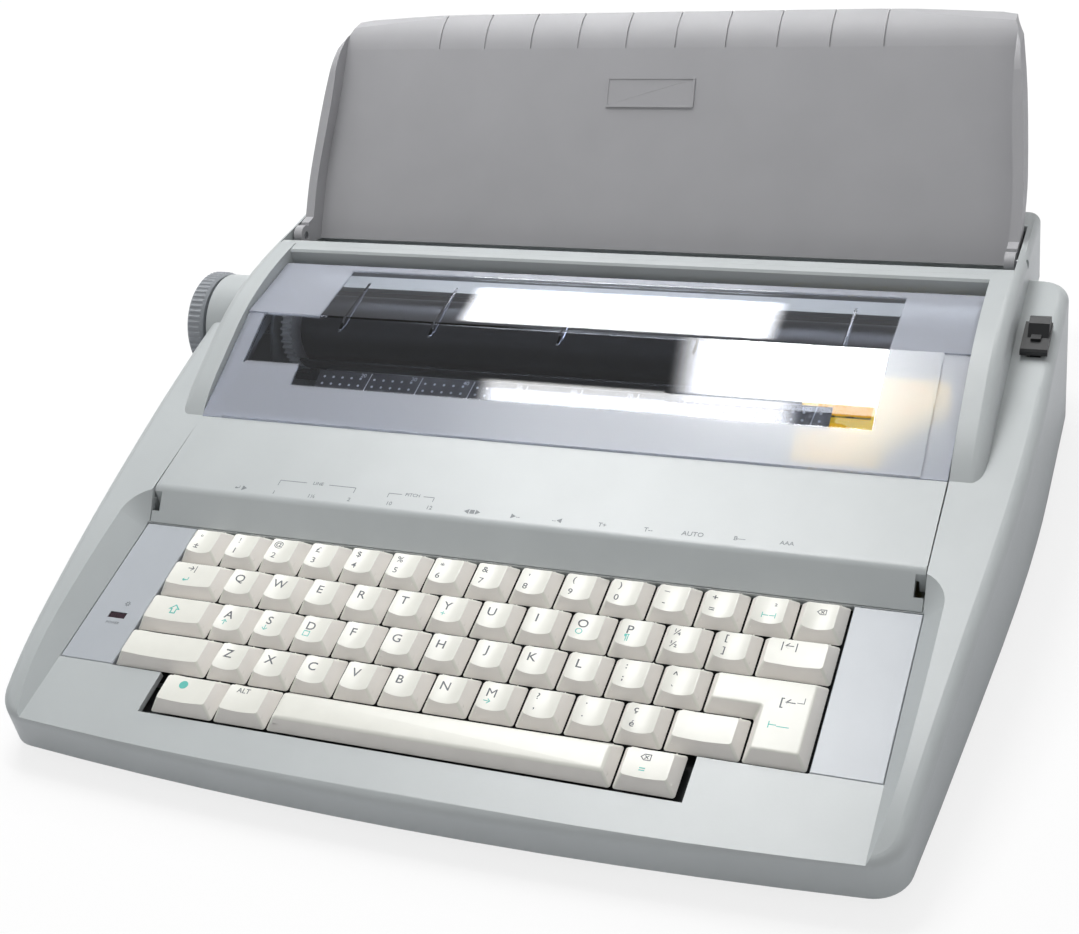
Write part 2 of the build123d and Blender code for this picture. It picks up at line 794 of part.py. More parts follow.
def make_platen():
    with BuildPart() as platen:
        with BuildSketch(side_plane(-platen_half)):
            with Locations((platen_y, platen_z)):
                Circle(platen_radius)
                Circle(shaft_radius + shaft_clearance / 2, mode=Mode.SUBTRACT)
        extrude(amount=2 * platen_half)
        chamfer(platen.edges().filter_by(GeomType.CIRCLE).filter_by(lambda e: e.radius > 10), length=0.8)
    return platen


def make_platen_shaft():
    with BuildPart() as shaft:
        with BuildSketch(side_plane(-knob_start - knob_width + 2)):
            with Locations((platen_y, platen_z)):
                Circle(shaft_radius)
        extrude(amount=knob_start + knob_width - 2 + frame_inner + frame_thickness + 3)
    return shaft


def make_platen_knob():
    bore = shaft_radius + shaft_clearance / 2
    with BuildPart() as knob:
        with BuildSketch(side_plane(-knob_start)):
            with Locations((platen_y, platen_z)):
                Circle(knob_radius)
        extrude(amount=-knob_width)
        chamfer(knob.edges().filter_by(GeomType.CIRCLE), length=1.6)
        with BuildSketch(side_plane(-knob_start + 1)):
            with Locations((platen_y, platen_z)):
                with PolarLocations(knob_radius + 0.9, 60):
                    Circle(1.5)
        extrude(amount=-knob_width - 2, mode=Mode.SUBTRACT)
        # hub that keeps a groove between the knob and the boss on the case
        with BuildSketch(side_plane(-knob_start)):
            with Locations((platen_y, platen_z)):
                Circle(knob_radius - 5)
        extrude(amount=1.6)
        with BuildSketch(side_plane(-knob_start - knob_width)):
            with Locations((platen_y, platen_z)):
                Circle(knob_radius - 5)
        extrude(amount=1.5, mode=Mode.SUBTRACT)
        with BuildSketch(side_plane(-knob_start - knob_width + 2)):
            with Locations((platen_y, platen_z)):
                Circle(bore)
        extrude(amount=knob_width + 4, mode=Mode.SUBTRACT)
    return knob


gear_x = -157.5


def mesh_phase(phase, teeth, angle, follower_teeth):
    """Turn of the follower's teeth, in degrees, that meshes with a gear seen at the given angle."""
    place = (angle - phase) / (360 / teeth)
    follower_place = 0.5 - place
    return angle + 180 - follower_place * 360 / follower_teeth


def gear_points(teeth, phase):
    pitch = 2 * math.pi / teeth
    radius = gear_module * teeth / 2
    points = []
    for tooth in range(teeth):
        middle = math.radians(phase) + tooth * pitch
        for share, reach in ((-0.27, -1.1), (-0.11, 0.8), (0.11, 0.8), (0.27, -1.1)):
            angle = middle + share * pitch
            at = radius + reach * gear_module
            points.append((at * math.cos(angle), at * math.sin(angle)))
    return points


def make_gear(centre, teeth, phase, bore, x=gear_x):
    with BuildPart() as gear:
        with BuildSketch(Plane(origin=(x, centre[0], centre[1]), x_dir=(0, 1, 0), z_dir=(1, 0, 0))):
            with BuildLine():
                Polyline(*gear_points(teeth, phase), close=True)
            make_face()
            Circle(bore, mode=Mode.SUBTRACT)
        extrude(amount=-gear_width)
    return gear


platen_centre = (platen_y, platen_z)
motor_centre = (feed_motor_y, feed_motor_z)
reach_idler = gear_module * (platen_teeth + idler_teeth) / 2
reach_pinion = gear_module * (idler_teeth + pinion_teeth) / 2
centre_span = math.dist(platen_centre, motor_centre)
span_angle = math.degrees(math.atan2(motor_centre[1] - platen_centre[1], motor_centre[0] - platen_centre[0]))
bend_angle = math.degrees(math.acos((reach_idler**2 + centre_span**2 - reach_pinion**2)
                                    / (2 * reach_idler * centre_span)))
idler_angle = span_angle + bend_angle
idler_centre = (platen_y + reach_idler * math.cos(math.radians(idler_angle)),
                platen_z + reach_idler * math.sin(math.radians(idler_angle)))
pinion_angle = math.degrees(math.atan2(motor_centre[1] - idler_centre[1], motor_centre[0] - idler_centre[0]))
idler_phase = mesh_phase(0, platen_teeth, idler_angle, idler_teeth)
pinion_phase = mesh_phase(idler_phase, idler_teeth, pinion_angle, pinion_teeth)
idler_pin_radius = 2.0
motor_shaft_radius = 1.5


def make_feed_pinion():
    with BuildPart() as pinion:
        add(make_gear(motor_centre, pinion_teeth, pinion_phase, 0.5).part)
        with BuildSketch(side_plane(gear_x)):
            with Locations(motor_centre):
                Circle(motor_shaft_radius)
        extrude(amount=-(frame_inner + frame_thickness + 8 + gear_x))
    return pinion


def make_feed_motor():
    back = -frame_inner - frame_thickness
    with BuildPart() as motor:
        with BuildSketch(side_plane(back)):
            with Locations(motor_centre):
                Circle(feed_motor_radius)
        extrude(amount=-12)
        chamfer(motor.edges().filter_by(GeomType.CIRCLE), length=0.8)
        with BuildSketch(side_plane(back)):
            with Locations(motor_centre):
                Circle(motor_shaft_radius + shaft_clearance)
        extrude(amount=-10, mode=Mode.SUBTRACT)
        with BuildSketch(side_plane(back)):
            with Locations(motor_centre):
                SlotOverall(42, 7)
                Circle(motor_shaft_radius + 2, mode=Mode.SUBTRACT)
        extrude(amount=-1)
    return motor


roller_distance = platen_radius + roller_radius + roller_gap
roller_angle = -70.0
roller_y = platen_y + roller_distance * math.cos(math.radians(roller_angle))
roller_z = platen_z + roller_distance * math.sin(math.radians(roller_angle))
roller_places = (-105, -35, 35, 105)
roller_length = 34.0


def make_pinch_rollers():
    with BuildPart() as rollers:
        for x in roller_places:
            with BuildSketch(side_plane(x - roller_length / 2)):
                with Locations((roller_y, roller_z)):
                    Circle(roller_radius)
                    Circle(roller_shaft_radius + shaft_clearance / 2, mode=Mode.SUBTRACT)
            extrude(amount=roller_length)
    return rollers


def make_pinch_shaft():
    with BuildPart() as shaft:
        with BuildSketch(side_plane(-frame_inner - 3)):
            with Locations((roller_y, roller_z)):
                Circle(roller_shaft_radius)
        extrude(amount=2 * frame_inner + 6)
    return shaft


def make_paper_pan():
    """Curved sheet that leads the paper under the platen, with a window over each roller."""
    inner = platen_radius + pan_gap
    outer = inner + pan_thickness
    half = frame_inner - 0.3

    def at(radius, degrees):
        angle = math.radians(degrees)
        return (platen_y + radius * math.cos(angle), platen_z + radius * math.sin(angle))

    with BuildPart() as pan:
        with BuildSketch(side_plane(-platen_half - 2)):
            with BuildLine():
                ThreePointArc(at(inner, -8), at(inner, -85), at(inner, -160))
                Line(at(inner, -160), at(outer, -160))
                ThreePointArc(at(outer, -160), at(outer, -85), at(outer, -8))
                Polyline(at(outer, -8), (284.5, 53.0), (284.0, 54.2), at(inner, -8))
            make_face()
        extrude(amount=2 * (platen_half + 2))
        for x in roller_places:
            with BuildSketch(side_plane(x - roller_length / 2 - 1.5)):
                with Locations((roller_y, roller_z)):
                    Circle(roller_radius + 1.5)
            extrude(amount=roller_length + 3, mode=Mode.SUBTRACT)
        # feet that reach past the platen gear to the side frames
        for side in (1, -1):
            for low, start in ((outer - 0.1, platen_half - 2), (outer + 2.5, platen_half + 1)):
                with BuildSketch(side_plane(side * start)):
                    with BuildLine():
                        Polyline(at(low, -100), at(outer + 6, -100), at(outer + 6, -125), at(low, -125),
                                 close=True)
                    make_face()
                extrude(amount=side * (platen_half + 2 - start if low < outer else half - start))
    return pan


def make_side_frame(side):
    """Steel side plate that carries the platen, the rollers and the carriage rail."""
    with BuildPart() as plate:
        with BuildSketch(side_plane(side * frame_inner)):
            with BuildLine():
                Polyline((193, floor_z), (193, 30), (222, 33), (238, 60), (246, 69), (268, 69), (279, 50),
                         (304, 46), (304, floor_z), close=True)
            make_face()
            with Locations((platen_y, platen_z)):
                Circle(shaft_radius + shaft_clearance, mode=Mode.SUBTRACT)
            with Locations((roller_y, roller_z)):
                Circle(roller_shaft_radius + shaft_clearance, mode=Mode.SUBTRACT)
            with Locations((rail_y, rail_z)):
                Circle(rail_radius, mode=Mode.SUBTRACT)
            if side < 0:
                with Locations(motor_centre):
                    Circle(motor_shaft_radius + 1, mode=Mode.SUBTRACT)
        extrude(amount=side * frame_thickness)
        # foot flange on the floor of the case
        with BuildSketch(Plane.XY.offset(floor_z)):
            with Locations((side * (frame_inner + 5), 248)):
                Rectangle(10, 60)
        extrude(amount=frame_thickness)
        if side < 0:
            with BuildSketch(side_plane(-frame_inner - frame_thickness)):
                with Locations(idler_centre):
                    Circle(idler_pin_radius)
            extrude(amount=frame_thickness + frame_inner + gear_x + 0.4 + gear_width)
        else:
            with BuildSketch(side_plane(frame_inner)):
                with Locations((lever_pivot_y, lever_pivot_z)):
                    Circle(2.5)
            extrude(amount=lever_x + 3.5 - frame_inner)
    return plate


def make_release_lever():
    with BuildPart() as lever:
        with BuildSketch(side_plane(lever_x - 2)):
            with Locations((lever_pivot_y, lever_pivot_z)):
                Circle(6)
            with Locations((lever_pivot_y, (lever_pivot_z + 70) / 2)):
                Rectangle(7, 70 - lever_pivot_z)
        extrude(amount=4)
        # a flat shoe that hides the slot, with a thumb ridge at its rear
        with BuildSketch(side_plane(lever_x - 5.5)):
            with BuildLine():
                Polyline((lever_pivot_y - 10, 65.9), (lever_pivot_y + 10, 67.6), (lever_pivot_y + 10, 69.8),
                         (lever_pivot_y - 9, 68.4), (lever_pivot_y - 10, 67.6), close=True)
            make_face()
        extrude(amount=11)
        with BuildSketch(side_plane(lever_x - 3.5)):
            with BuildLine():
                Polyline((lever_pivot_y - 2, 68), (lever_pivot_y + 3, 73.4), (lever_pivot_y + 7, 74.2),
                         (lever_pivot_y + 9.6, 73), (lever_pivot_y + 9.6, 68), close=True)
            make_face()
        extrude(amount=8.4)
        with BuildSketch(side_plane(lever_x - 3)):
            with Locations((lever_pivot_y, lever_pivot_z)):
                Circle(2.5 + shaft_clearance)
        extrude(amount=6, mode=Mode.SUBTRACT)
    return lever


# Paper support

def support_point(rise, front=0.0):
    """Side-view place of a point so far up the panel from its foot and so far in front of it."""
    slope = math.radians(panel_slope)
    return (panel_foot[0] + rise * math.cos(slope) - front * math.sin(slope),
            panel_foot[1] + rise * math.sin(slope) + front * math.cos(slope))


def roll_point(turn, depth=0.0):
    """Place on the rolled top edge, so many degrees round it and so deep under its surface."""
    centre = support_point(panel_height, -roll_radius)
    a = math.radians(90 + panel_slope - turn)
    return (centre[0] + (roll_radius - depth) * math.cos(a), centre[1] + (roll_radius - depth) * math.sin(a))


def support_front_view(inset, low, high):
    """The support seen from the front: its sides bulge a little and its top edge is bowed."""
    base = support_base_half - inset
    top = support_top_half - inset
    with BuildSketch(Plane.XZ.offset(-420)) as view:
        with BuildLine():
            Line((base, low), (base, 92))
            Spline((base, 92), (base - 1.3, 110), (base - 4.0, 131), (top, high - 5),
                   tangents=((0, 1), (-0.25, 1)))
            Line((top, high - 5), (top - 4, high))
            ThreePointArc((top - 4, high), (0, high + 4.6), (4 - top, high))
            Line((4 - top, high), (-top, high - 5))
            Spline((-top, high - 5), (4.0 - base, 131), (1.3 - base, 110), (-base, 92),
                   tangents=((-0.25, -1), (0, -1)))
            Line((-base, 92), (-base, low))
            Line((-base, low), (base, low))
        make_face()
    return view


def tray_hollow():
    """The hollow of the support, in front of its panel and between its side flanges."""
    with BuildPart() as hollow:
        with BuildSketch(side_plane(-support_base_half - 1)):
            with BuildLine():
                Line(panel_foot, support_point(panel_height))
                ThreePointArc(support_point(panel_height), roll_point(10), roll_point(20))
                Polyline(roll_point(20), support_point(panel_height + 8, 40), (280, 175),
                         (280, panel_foot[1] - 8), panel_foot)
            make_face()
        extrude(amount=2 * support_base_half + 2)
        extrude(support_front_view(support_flange, 60, 175).sketch, amount=200, mode=Mode.INTERSECT)
    return hollow


def make_paper_support():
    with BuildPart() as support:
        with BuildSketch(side_plane(-support_base_half - 1)):
            with BuildLine():
                Polyline(panel_foot, support_point(-2.9, 5.3), support_point(-1.6, support_depth),
                         support_point(84, support_depth))
                Spline(support_point(84, support_depth), support_point(92, support_depth - 1.6),
                       support_point(99, 4), roll_point(20))
                ThreePointArc(roll_point(20), roll_point(31), roll_point(roll_turn))
                Polyline(roll_point(roll_turn), roll_point(roll_turn + 1.6, 0.8),
                         roll_point(roll_turn, support_thickness))
                ThreePointArc(roll_point(roll_turn, support_thickness), roll_point(21, support_thickness),
                              roll_point(0, support_thickness))
                Polyline(roll_point(0, support_thickness), support_point(0, -support_thickness), panel_foot)
            make_face()
        extrude(amount=2 * support_base_half + 2)
        extrude(support_front_view(0, 68, support_corner_z).sketch, amount=200, mode=Mode.INTERSECT)
        add(tray_hollow().part, mode=Mode.SUBTRACT)
        # ears and pin holes
        for side in (1, -1):
            with BuildSketch(side_plane(side * (support_base_half - 0.2))):
                with Locations((support_axis_y, support_axis_z)):
                    Circle(5)
                with BuildLine():
                    Polyline((support_axis_y, support_axis_z - 5), (312, 72), (314, 84),
                             (support_axis_y + 5, support_axis_z + 4.5), close=True)
                make_face()
            extrude(amount=-side * (support_flange - 0.2))
            with BuildSketch(side_plane(side * (support_base_half + 1))):
                with Locations((support_axis_y, support_axis_z)):
                    Circle(pin_radius + pin_clearance)
            extrude(amount=-side * 8, mode=Mode.SUBTRACT)
        # grooves that run over the rolled edge
        for place in range(groove_count):
            x = groove_centre + (place - (groove_count - 1) / 2) * groove_pitch
            with BuildSketch(side_plane(x - groove_width / 2)):
                with BuildLine():
                    ThreePointArc(roll_point(0, groove_depth), roll_point(21, groove_depth),
                                  roll_point(roll_turn + 4, groove_depth))
                    Polyline(roll_point(roll_turn + 4, groove_depth), roll_point(roll_turn + 4, -4),
                             roll_point(20, -5), roll_point(0, -4), roll_point(0, groove_depth))
                make_face()
            extrude(amount=groove_width, mode=Mode.SUBTRACT)
    return support


def make_support_pins():
    with BuildPart() as pins:
        for side in (1, -1):
            with BuildSketch(side_plane(side * (support_base_half - 4))):
                with Locations((support_axis_y, support_axis_z)):
                    Circle(pin_radius)
            extrude(amount=side * (cheek_outer - support_base_half + 2.5))
    return pins


# Print carriage: everything on it is placed from the printing point on the platen

angle = math.radians(print_angle)
away = (-math.cos(angle), math.sin(angle))
down = (-math.sin(angle), -math.cos(angle))
print_point = (platen_y + platen_radius * away[0], platen_z + platen_radius * away[1])
wheel_centre = (print_point[0] + 2 * away[0] + wheel_radius * down[0],
                print_point[1] + 2 * away[1] + wheel_radius * down[1])


def wheel_point(n, s):
    """Side-view place n in front of the wheel's disc and s up it from its centre."""
    return (wheel_centre[0] + n * away[0] - s * down[0], wheel_centre[1] + n * away[1] - s * down[1])


def wheel_plane(n, x=carriage_x):
    """Plane along the wheel's disc, n in front of it, with X to the right and its Y up the disc."""
    y, z = wheel_point(n, 0)
    return Plane(origin=(x, y, z), x_dir=(1, 0, 0), z_dir=(0, away[0], away[1]))


wheel_shaft_radius = 1.5
petal_count = 48


def make_daisy_wheel():
    with BuildPart() as wheel:
        with BuildSketch(wheel_plane(-wheel_thickness / 2)):
            Circle(11)
            with PolarLocations(0, petal_count):
                with Locations((18.5, 0)):
                    Rectangle(wheel_radius - 9.5, 1.5)
            with PolarLocations(wheel_radius - 1.5, petal_count):
                Rectangle(3, 2.3)
        extrude(amount=wheel_thickness)
        with BuildSketch(wheel_plane(-3)):
            Circle(5)
        extrude(amount=3)
        with BuildSketch(wheel_plane(-1)):
            Circle(wheel_shaft_radius)
        extrude(amount=14)
    return wheel


def make_wheel_motor():
    with BuildPart() as motor:
        with BuildSketch(wheel_plane(4)):
            Circle(11)
        extrude(amount=15)
        chamfer(motor.edges().filter_by(GeomType.CIRCLE), length=0.6)
        with BuildSketch(wheel_plane(4)):
            Circle(wheel_shaft_radius + shaft_clearance)
        extrude(amount=10, mode=Mode.SUBTRACT)
    return motor


def side_prism(points, x_low, x_high, mode=Mode.ADD):
    with BuildSketch(side_plane(x_low)) as profile:
        with BuildLine():
            Polyline(*points, close=True)
        make_face()
    extrude(profile.sketch, amount=x_high - x_low, mode=mode)


base_front_y = 189.5
base_rear_y = 206.5
cassette_front = (180.0, 43.8)
cassette_rear = (223.0, 59.6)
cassette_thickness = 8.0
cassette_half = 29.0
spool_place = (13.0, 0.0)
spool_radius = 8.0
spool_width = 4.5


def under_cassette(y, drop):
    rise = (cassette_rear[1] - cassette_front[1]) / (cassette_rear[0] - cassette_front[0])
    return (y, cassette_front[1] + (y - cassette_front[0]) * rise - drop)


def make_carriage():
    left = carriage_x - carriage_half
    right = carriage_x + carriage_half
    base = [(base_front_y, 13), (base_front_y, 27), (base_rear_y - 4, 27), (base_rear_y, 24),
            (base_rear_y, 13)]
    plate = [wheel_point(2, -14), wheel_point(2, 20), wheel_point(4, 20), wheel_point(4, -14)]
    cheek = [(base_front_y, 13), under_cassette(184, 0.2), under_cassette(206, 0.2), wheel_point(9, 12),
             wheel_point(2, 20), wheel_point(2, -20), (base_rear_y, 13)]
    deck_line = [under_cassette(183, 0.1), under_cassette(201, 0.1), under_cassette(201.6, 2.2),
                 under_cassette(183.6, 2.2)]
    bracket = [wheel_point(2.2, 17), wheel_point(2.2, 23.9), wheel_point(13, 23.9), wheel_point(13, 21),
               wheel_point(4, 17)]
    with BuildPart() as carriage:
        side_prism(base, left, right)
        side_prism(plate, left, right)
        side_prism(cheek, left, left + 2)
        side_prism(cheek, right - 2, right)
        side_prism(deck_line, left, right)
        side_prism(bracket, carriage_x - 5, carriage_x + 5)
        # clip that holds the belt
        side_prism([(belt_y + pulley_radius - 1.5, 15), (belt_y + pulley_radius - 1.5, 25),
                    (base_front_y + 1, 25), (base_front_y + 1, 15)], carriage_x - 6, carriage_x + 6)
        slot_front = belt_y + pulley_radius + 0.1 - 0.2
        side_prism([(slot_front, belt_z - belt_width / 2 - 0.3), (slot_front, belt_z + belt_width / 2 + 0.3),
                    (slot_front + belt_thickness + 0.4, belt_z + belt_width / 2 + 0.3),
                    (slot_front + belt_thickness + 0.4, belt_z - belt_width / 2 - 0.3)],
                   carriage_x - 8, carriage_x + 8, Mode.SUBTRACT)
        with BuildSketch(side_plane(left - 1)):
            with Locations((rail_y, rail_z)):
                Circle(rail_radius + shaft_clearance)
        extrude(amount=2 * carriage_half + 2, mode=Mode.SUBTRACT)
        with BuildSketch(wheel_plane(1)):
            Circle(wheel_shaft_radius + 1)
        extrude(amount=4, mode=Mode.SUBTRACT)
        # pins of the correction spools
        for side, start in ((1, left + 1), (-1, right - 1)):
            with BuildSketch(side_plane(start)):
                with Locations(wheel_point(*spool_place)):
                    Circle(pin_radius)
            extrude(amount=side * (spool_width + 2.5))
    return carriage


def make_correction_spools():
    with BuildPart() as spools:
        for start in (carriage_x - carriage_half + 2.4, carriage_x + carriage_half - 2.4 - spool_width):
            with BuildSketch(side_plane(start)):
                with Locations(wheel_point(*spool_place)):
                    Circle(spool_radius)
                    Circle(pin_radius + pin_clearance, mode=Mode.SUBTRACT)
            extrude(amount=spool_width)
    return spools


def make_ribbon_cassette():
    slope = math.atan2(cassette_rear[1] - cassette_front[1], cassette_rear[0] - cassette_front[0])
    length = math.dist(cassette_front, cassette_rear)
    bed = Plane(origin=(carriage_x, *cassette_front), x_dir=(1, 0, 0),
                z_dir=(0, -math.sin(slope), math.cos(slope)))
    with BuildPart() as cassette:
        with BuildSketch(bed) as outline:
            with BuildLine():
                Polyline((-28.5, 0), (5, 0), (7.5, 14), (24, 31), (cassette_half, 34),
                         (cassette_half, length), (-cassette_half, length), (-28.5, 0))
            make_face()
            fillet(outline.vertices(), radius=2.5)
        extrude(amount=cassette_thickness)
        # open frame that the ribbon crosses, hollows over the spools and the knob that winds them
        with BuildSketch(bed):
            with Locations((-11.1, 27.6)):
                Rectangle(22.6, 6.4)
        extrude(amount=cassette_thickness, mode=Mode.SUBTRACT)
        with BuildSketch(bed.offset(cassette_thickness - 1.4)):
            with Locations((-13, 12)):
                Circle(9.5)
            with Locations((14, 36)):
                Circle(8)
        extrude(amount=2, mode=Mode.SUBTRACT)
        with BuildSketch(bed.offset(cassette_thickness - 2)):
            with Locations((-13, 12), (14, 36)):
                Circle(3.2)
        extrude(amount=1.8)
    return cassette


hammer_s = wheel_radius
hammer_tip = 1.9
hammer_travel = 1.0


def make_print_hammer():
    with BuildPart() as hammer:
        with BuildSketch(wheel_plane(hammer_tip)):
            with Locations((0, hammer_s)):
                Circle(1.8)
        extrude(amount=8)
    return hammer


def make_hammer_solenoid():
    with BuildPart() as solenoid:
        with BuildSketch(wheel_plane(6)):
            with Locations((0, hammer_s)):
                Rectangle(12, 8)
        extrude(amount=7)
        with BuildSketch(wheel_plane(6)):
            with Locations((0, hammer_s)):
                Circle(1.8 + shaft_clearance)
        extrude(amount=6, mode=Mode.SUBTRACT)
    return solenoid


def make_carriage_rail():
    with BuildPart() as rail:
        with BuildSketch(side_plane(-frame_inner - frame_thickness)):
            with Locations((rail_y, rail_z)):
                Circle(rail_radius)
        extrude(amount=2 * (frame_inner + frame_thickness))
    return rail


# Belt drive of the carriage

def pulley(x):
    with BuildPart() as wheel:
        with BuildSketch(Plane.XY.offset(belt_z - belt_width / 2 - 0.2)):
            with Locations((x, belt_y)):
                Circle(pulley_radius)
        extrude(amount=belt_width + 0.4)
        for z in (belt_z - belt_width / 2 - 1.0, belt_z + belt_width / 2 + 0.2):
            with BuildSketch(Plane.XY.offset(z)):
                with Locations((x, belt_y)):
                    Circle(pulley_radius - 0.3 if z > belt_z else pulley_radius + 1)
            extrude(amount=0.8)
    return wheel


def make_drive_pulley():
    with BuildPart() as wheel:
        add(pulley(-pulley_x).part)
        with BuildSketch(Plane.XY.offset(floor_z + 5)):
            with Locations((-pulley_x, belt_y)):
                Circle(pin_radius)
        extrude(amount=belt_z - floor_z)
    return wheel


def make_idler_pulley():
    with BuildPart() as wheel:
        add(pulley(pulley_x).part)
        with BuildSketch(Plane.XY.offset(floor_z)):
            with Locations((pulley_x, belt_y)):
                Circle(pin_radius + pin_clearance)
        extrude(amount=belt_z + belt_width, mode=Mode.SUBTRACT)
    return wheel


def make_drive_belt():
    inner = pulley_radius + 0.1
    outer = inner + belt_thickness
    with BuildPart() as belt:
        with BuildSketch(Plane.XY.offset(belt_z - belt_width / 2)):
            with Locations((0, belt_y)):
                SlotCenterToCenter(2 * pulley_x, 2 * outer)
                SlotCenterToCenter(2 * pulley_x, 2 * inner, mode=Mode.SUBTRACT)
        extrude(amount=belt_width)
    return belt


def make_carriage_motor():
    top = belt_z - belt_width / 2 - 1.2
    with BuildPart() as motor:
        with BuildSketch(Plane.XY.offset(floor_z)):
            with Locations((-pulley_x, belt_y)):
                Circle(16)
        extrude(amount=top - floor_z)
        chamfer(motor.edges().filter_by(GeomType.CIRCLE), length=0.8)
        with BuildSketch(Plane.XY.offset(floor_z + 4.8)):
            with Locations((-pulley_x, belt_y)):
                Circle(pin_radius + pin_clearance)
        extrude(amount=top, mode=Mode.SUBTRACT)
    return motor


# Electrical parts

board_half = 105.0
board_front_y = 123.0
board_rear_y = 162.0
board_z = 9.5
chips = [(-70, 142, 30, 12, 4), (-20, 140, 36, 14, 4), (40, 150, 18, 8, 3), (60, 132, 14, 14, 9),
         (85, 148, 10, 22, 10)]


def make_main_board():
    with BuildPart() as board:
        with BuildSketch(Plane.XY.offset(board_z)):
            with Locations((0, (board_front_y + board_rear_y) / 2)):
                Rectangle(2 * board_half, board_rear_y - board_front_y)
        extrude(amount=board_thickness)
        for x, y, width, depth, height in chips:
            with BuildSketch(Plane.XY.offset(board_z + board_thickness)):
                with Locations((x, y)):
                    Rectangle(width, depth)
            extrude(amount=height)
    return board


inlet_x = 120.0
inlet_z = 34.0
inlet_width = 28.0
inlet_height = 20.0
switch_x = 70.0
switch_width = 22.0
switch_height = 14.0


def make_mains_inlet():
    with BuildPart() as inlet:
        with BuildSketch(Plane.XZ.offset(-case_depth)):
            with Locations((inlet_x, inlet_z)):
                RectangleRounded(inlet_width + 4, inlet_height + 4, 2)
        extrude(amount=-1.2)
        with BuildSketch(Plane.XZ.offset(-case_depth)):
            with Locations((inlet_x, inlet_z)):
                Rectangle(inlet_width, inlet_height)
        extrude(amount=16)
        with BuildSketch(Plane.XZ.offset(-case_depth - 1.2)):
            with Locations((inlet_x, inlet_z)):
                RectangleRounded(inlet_width - 5, inlet_height - 5, 3)
        extrude(amount=14, mode=Mode.SUBTRACT)
        with BuildSketch(Plane.XZ.offset(-case_depth + 14)):
            with Locations((inlet_x - 7, inlet_z), (inlet_x + 7, inlet_z), (inlet_x, inlet_z + 2)):
                Rectangle(2, 4)
        extrude(amount=-11)
    return inlet


def make_switch_housing():
    with BuildPart() as housing:
        with BuildSketch(Plane.XZ.offset(-case_depth)):
            with Locations((switch_x, inlet_z)):
                RectangleRounded(switch_width + 3, switch_height + 3, 1.5)
        extrude(amount=-1)
        with BuildSketch(Plane.XZ.offset(-case_depth)):
            with Locations((switch_x, inlet_z)):
                Rectangle(switch_width, switch_height)
        extrude(amount=14)
        with BuildSketch(Plane.XZ.offset(-case_depth - 1)):
            with Locations((switch_x, inlet_z)):
                Rectangle(switch_width - 4, switch_height - 3)
        extrude(amount=11, mode=Mode.SUBTRACT)
        # seats of the rocker's pivot pins
        seat_reach = rocker_height / 2 + rocker_pin_reach + pin_clearance
        with BuildSketch(Plane.XY.offset(inlet_z - seat_reach)):
            with Locations((switch_x, rocker_y)):
                Circle(rocker_pin_radius + pin_clearance)
        extrude(amount=2 * seat_reach, mode=Mode.SUBTRACT)
    return housing


rocker_y = case_depth - 3.0
rocker_height = switch_height - 4
rocker_pin_radius = 1.2
rocker_pin_reach = 1.1
rocker_outline = [(-7.4, -0.6), (-7.4, 2.4), (0, 1.2), (7.4, 5.0), (7.4, 1.4), (0, -4)]


def make_power_rocker():
    """Rocker that tips about its upright pivot pins."""
    with BuildPart() as rocker:
        with BuildSketch(Plane.XY.offset(inlet_z - rocker_height / 2)):
            with BuildLine():
                Polyline(*[(switch_x + x, rocker_y + y) for x, y in rocker_outline], close=True)
            make_face()
        extrude(amount=rocker_height)
        with BuildSketch(Plane.XY.offset(inlet_z - rocker_height / 2 - rocker_pin_reach)):
            with Locations((switch_x, rocker_y)):
                Circle(rocker_pin_radius)
        extrude(amount=rocker_height + 2 * rocker_pin_reach)
    return rocker


def make_transformer():
    with BuildPart() as transformer:
        with BuildSketch(Plane.XY.offset(floor_z)):
            with Locations((30, 308)):
                Rectangle(54, 14)
        extrude(amount=40)
        with BuildSketch(Plane.XY.offset(floor_z + 8)):
            with Locations((30, 308)):
                RectangleRounded(34, 30, 4)
        extrude(amount=24)
        with BuildSketch(Plane.XY.offset(floor_z)):
            with Locations((30, 308)):
                Rectangle(66, 14)
        extrude(amount=2)
    return transformer


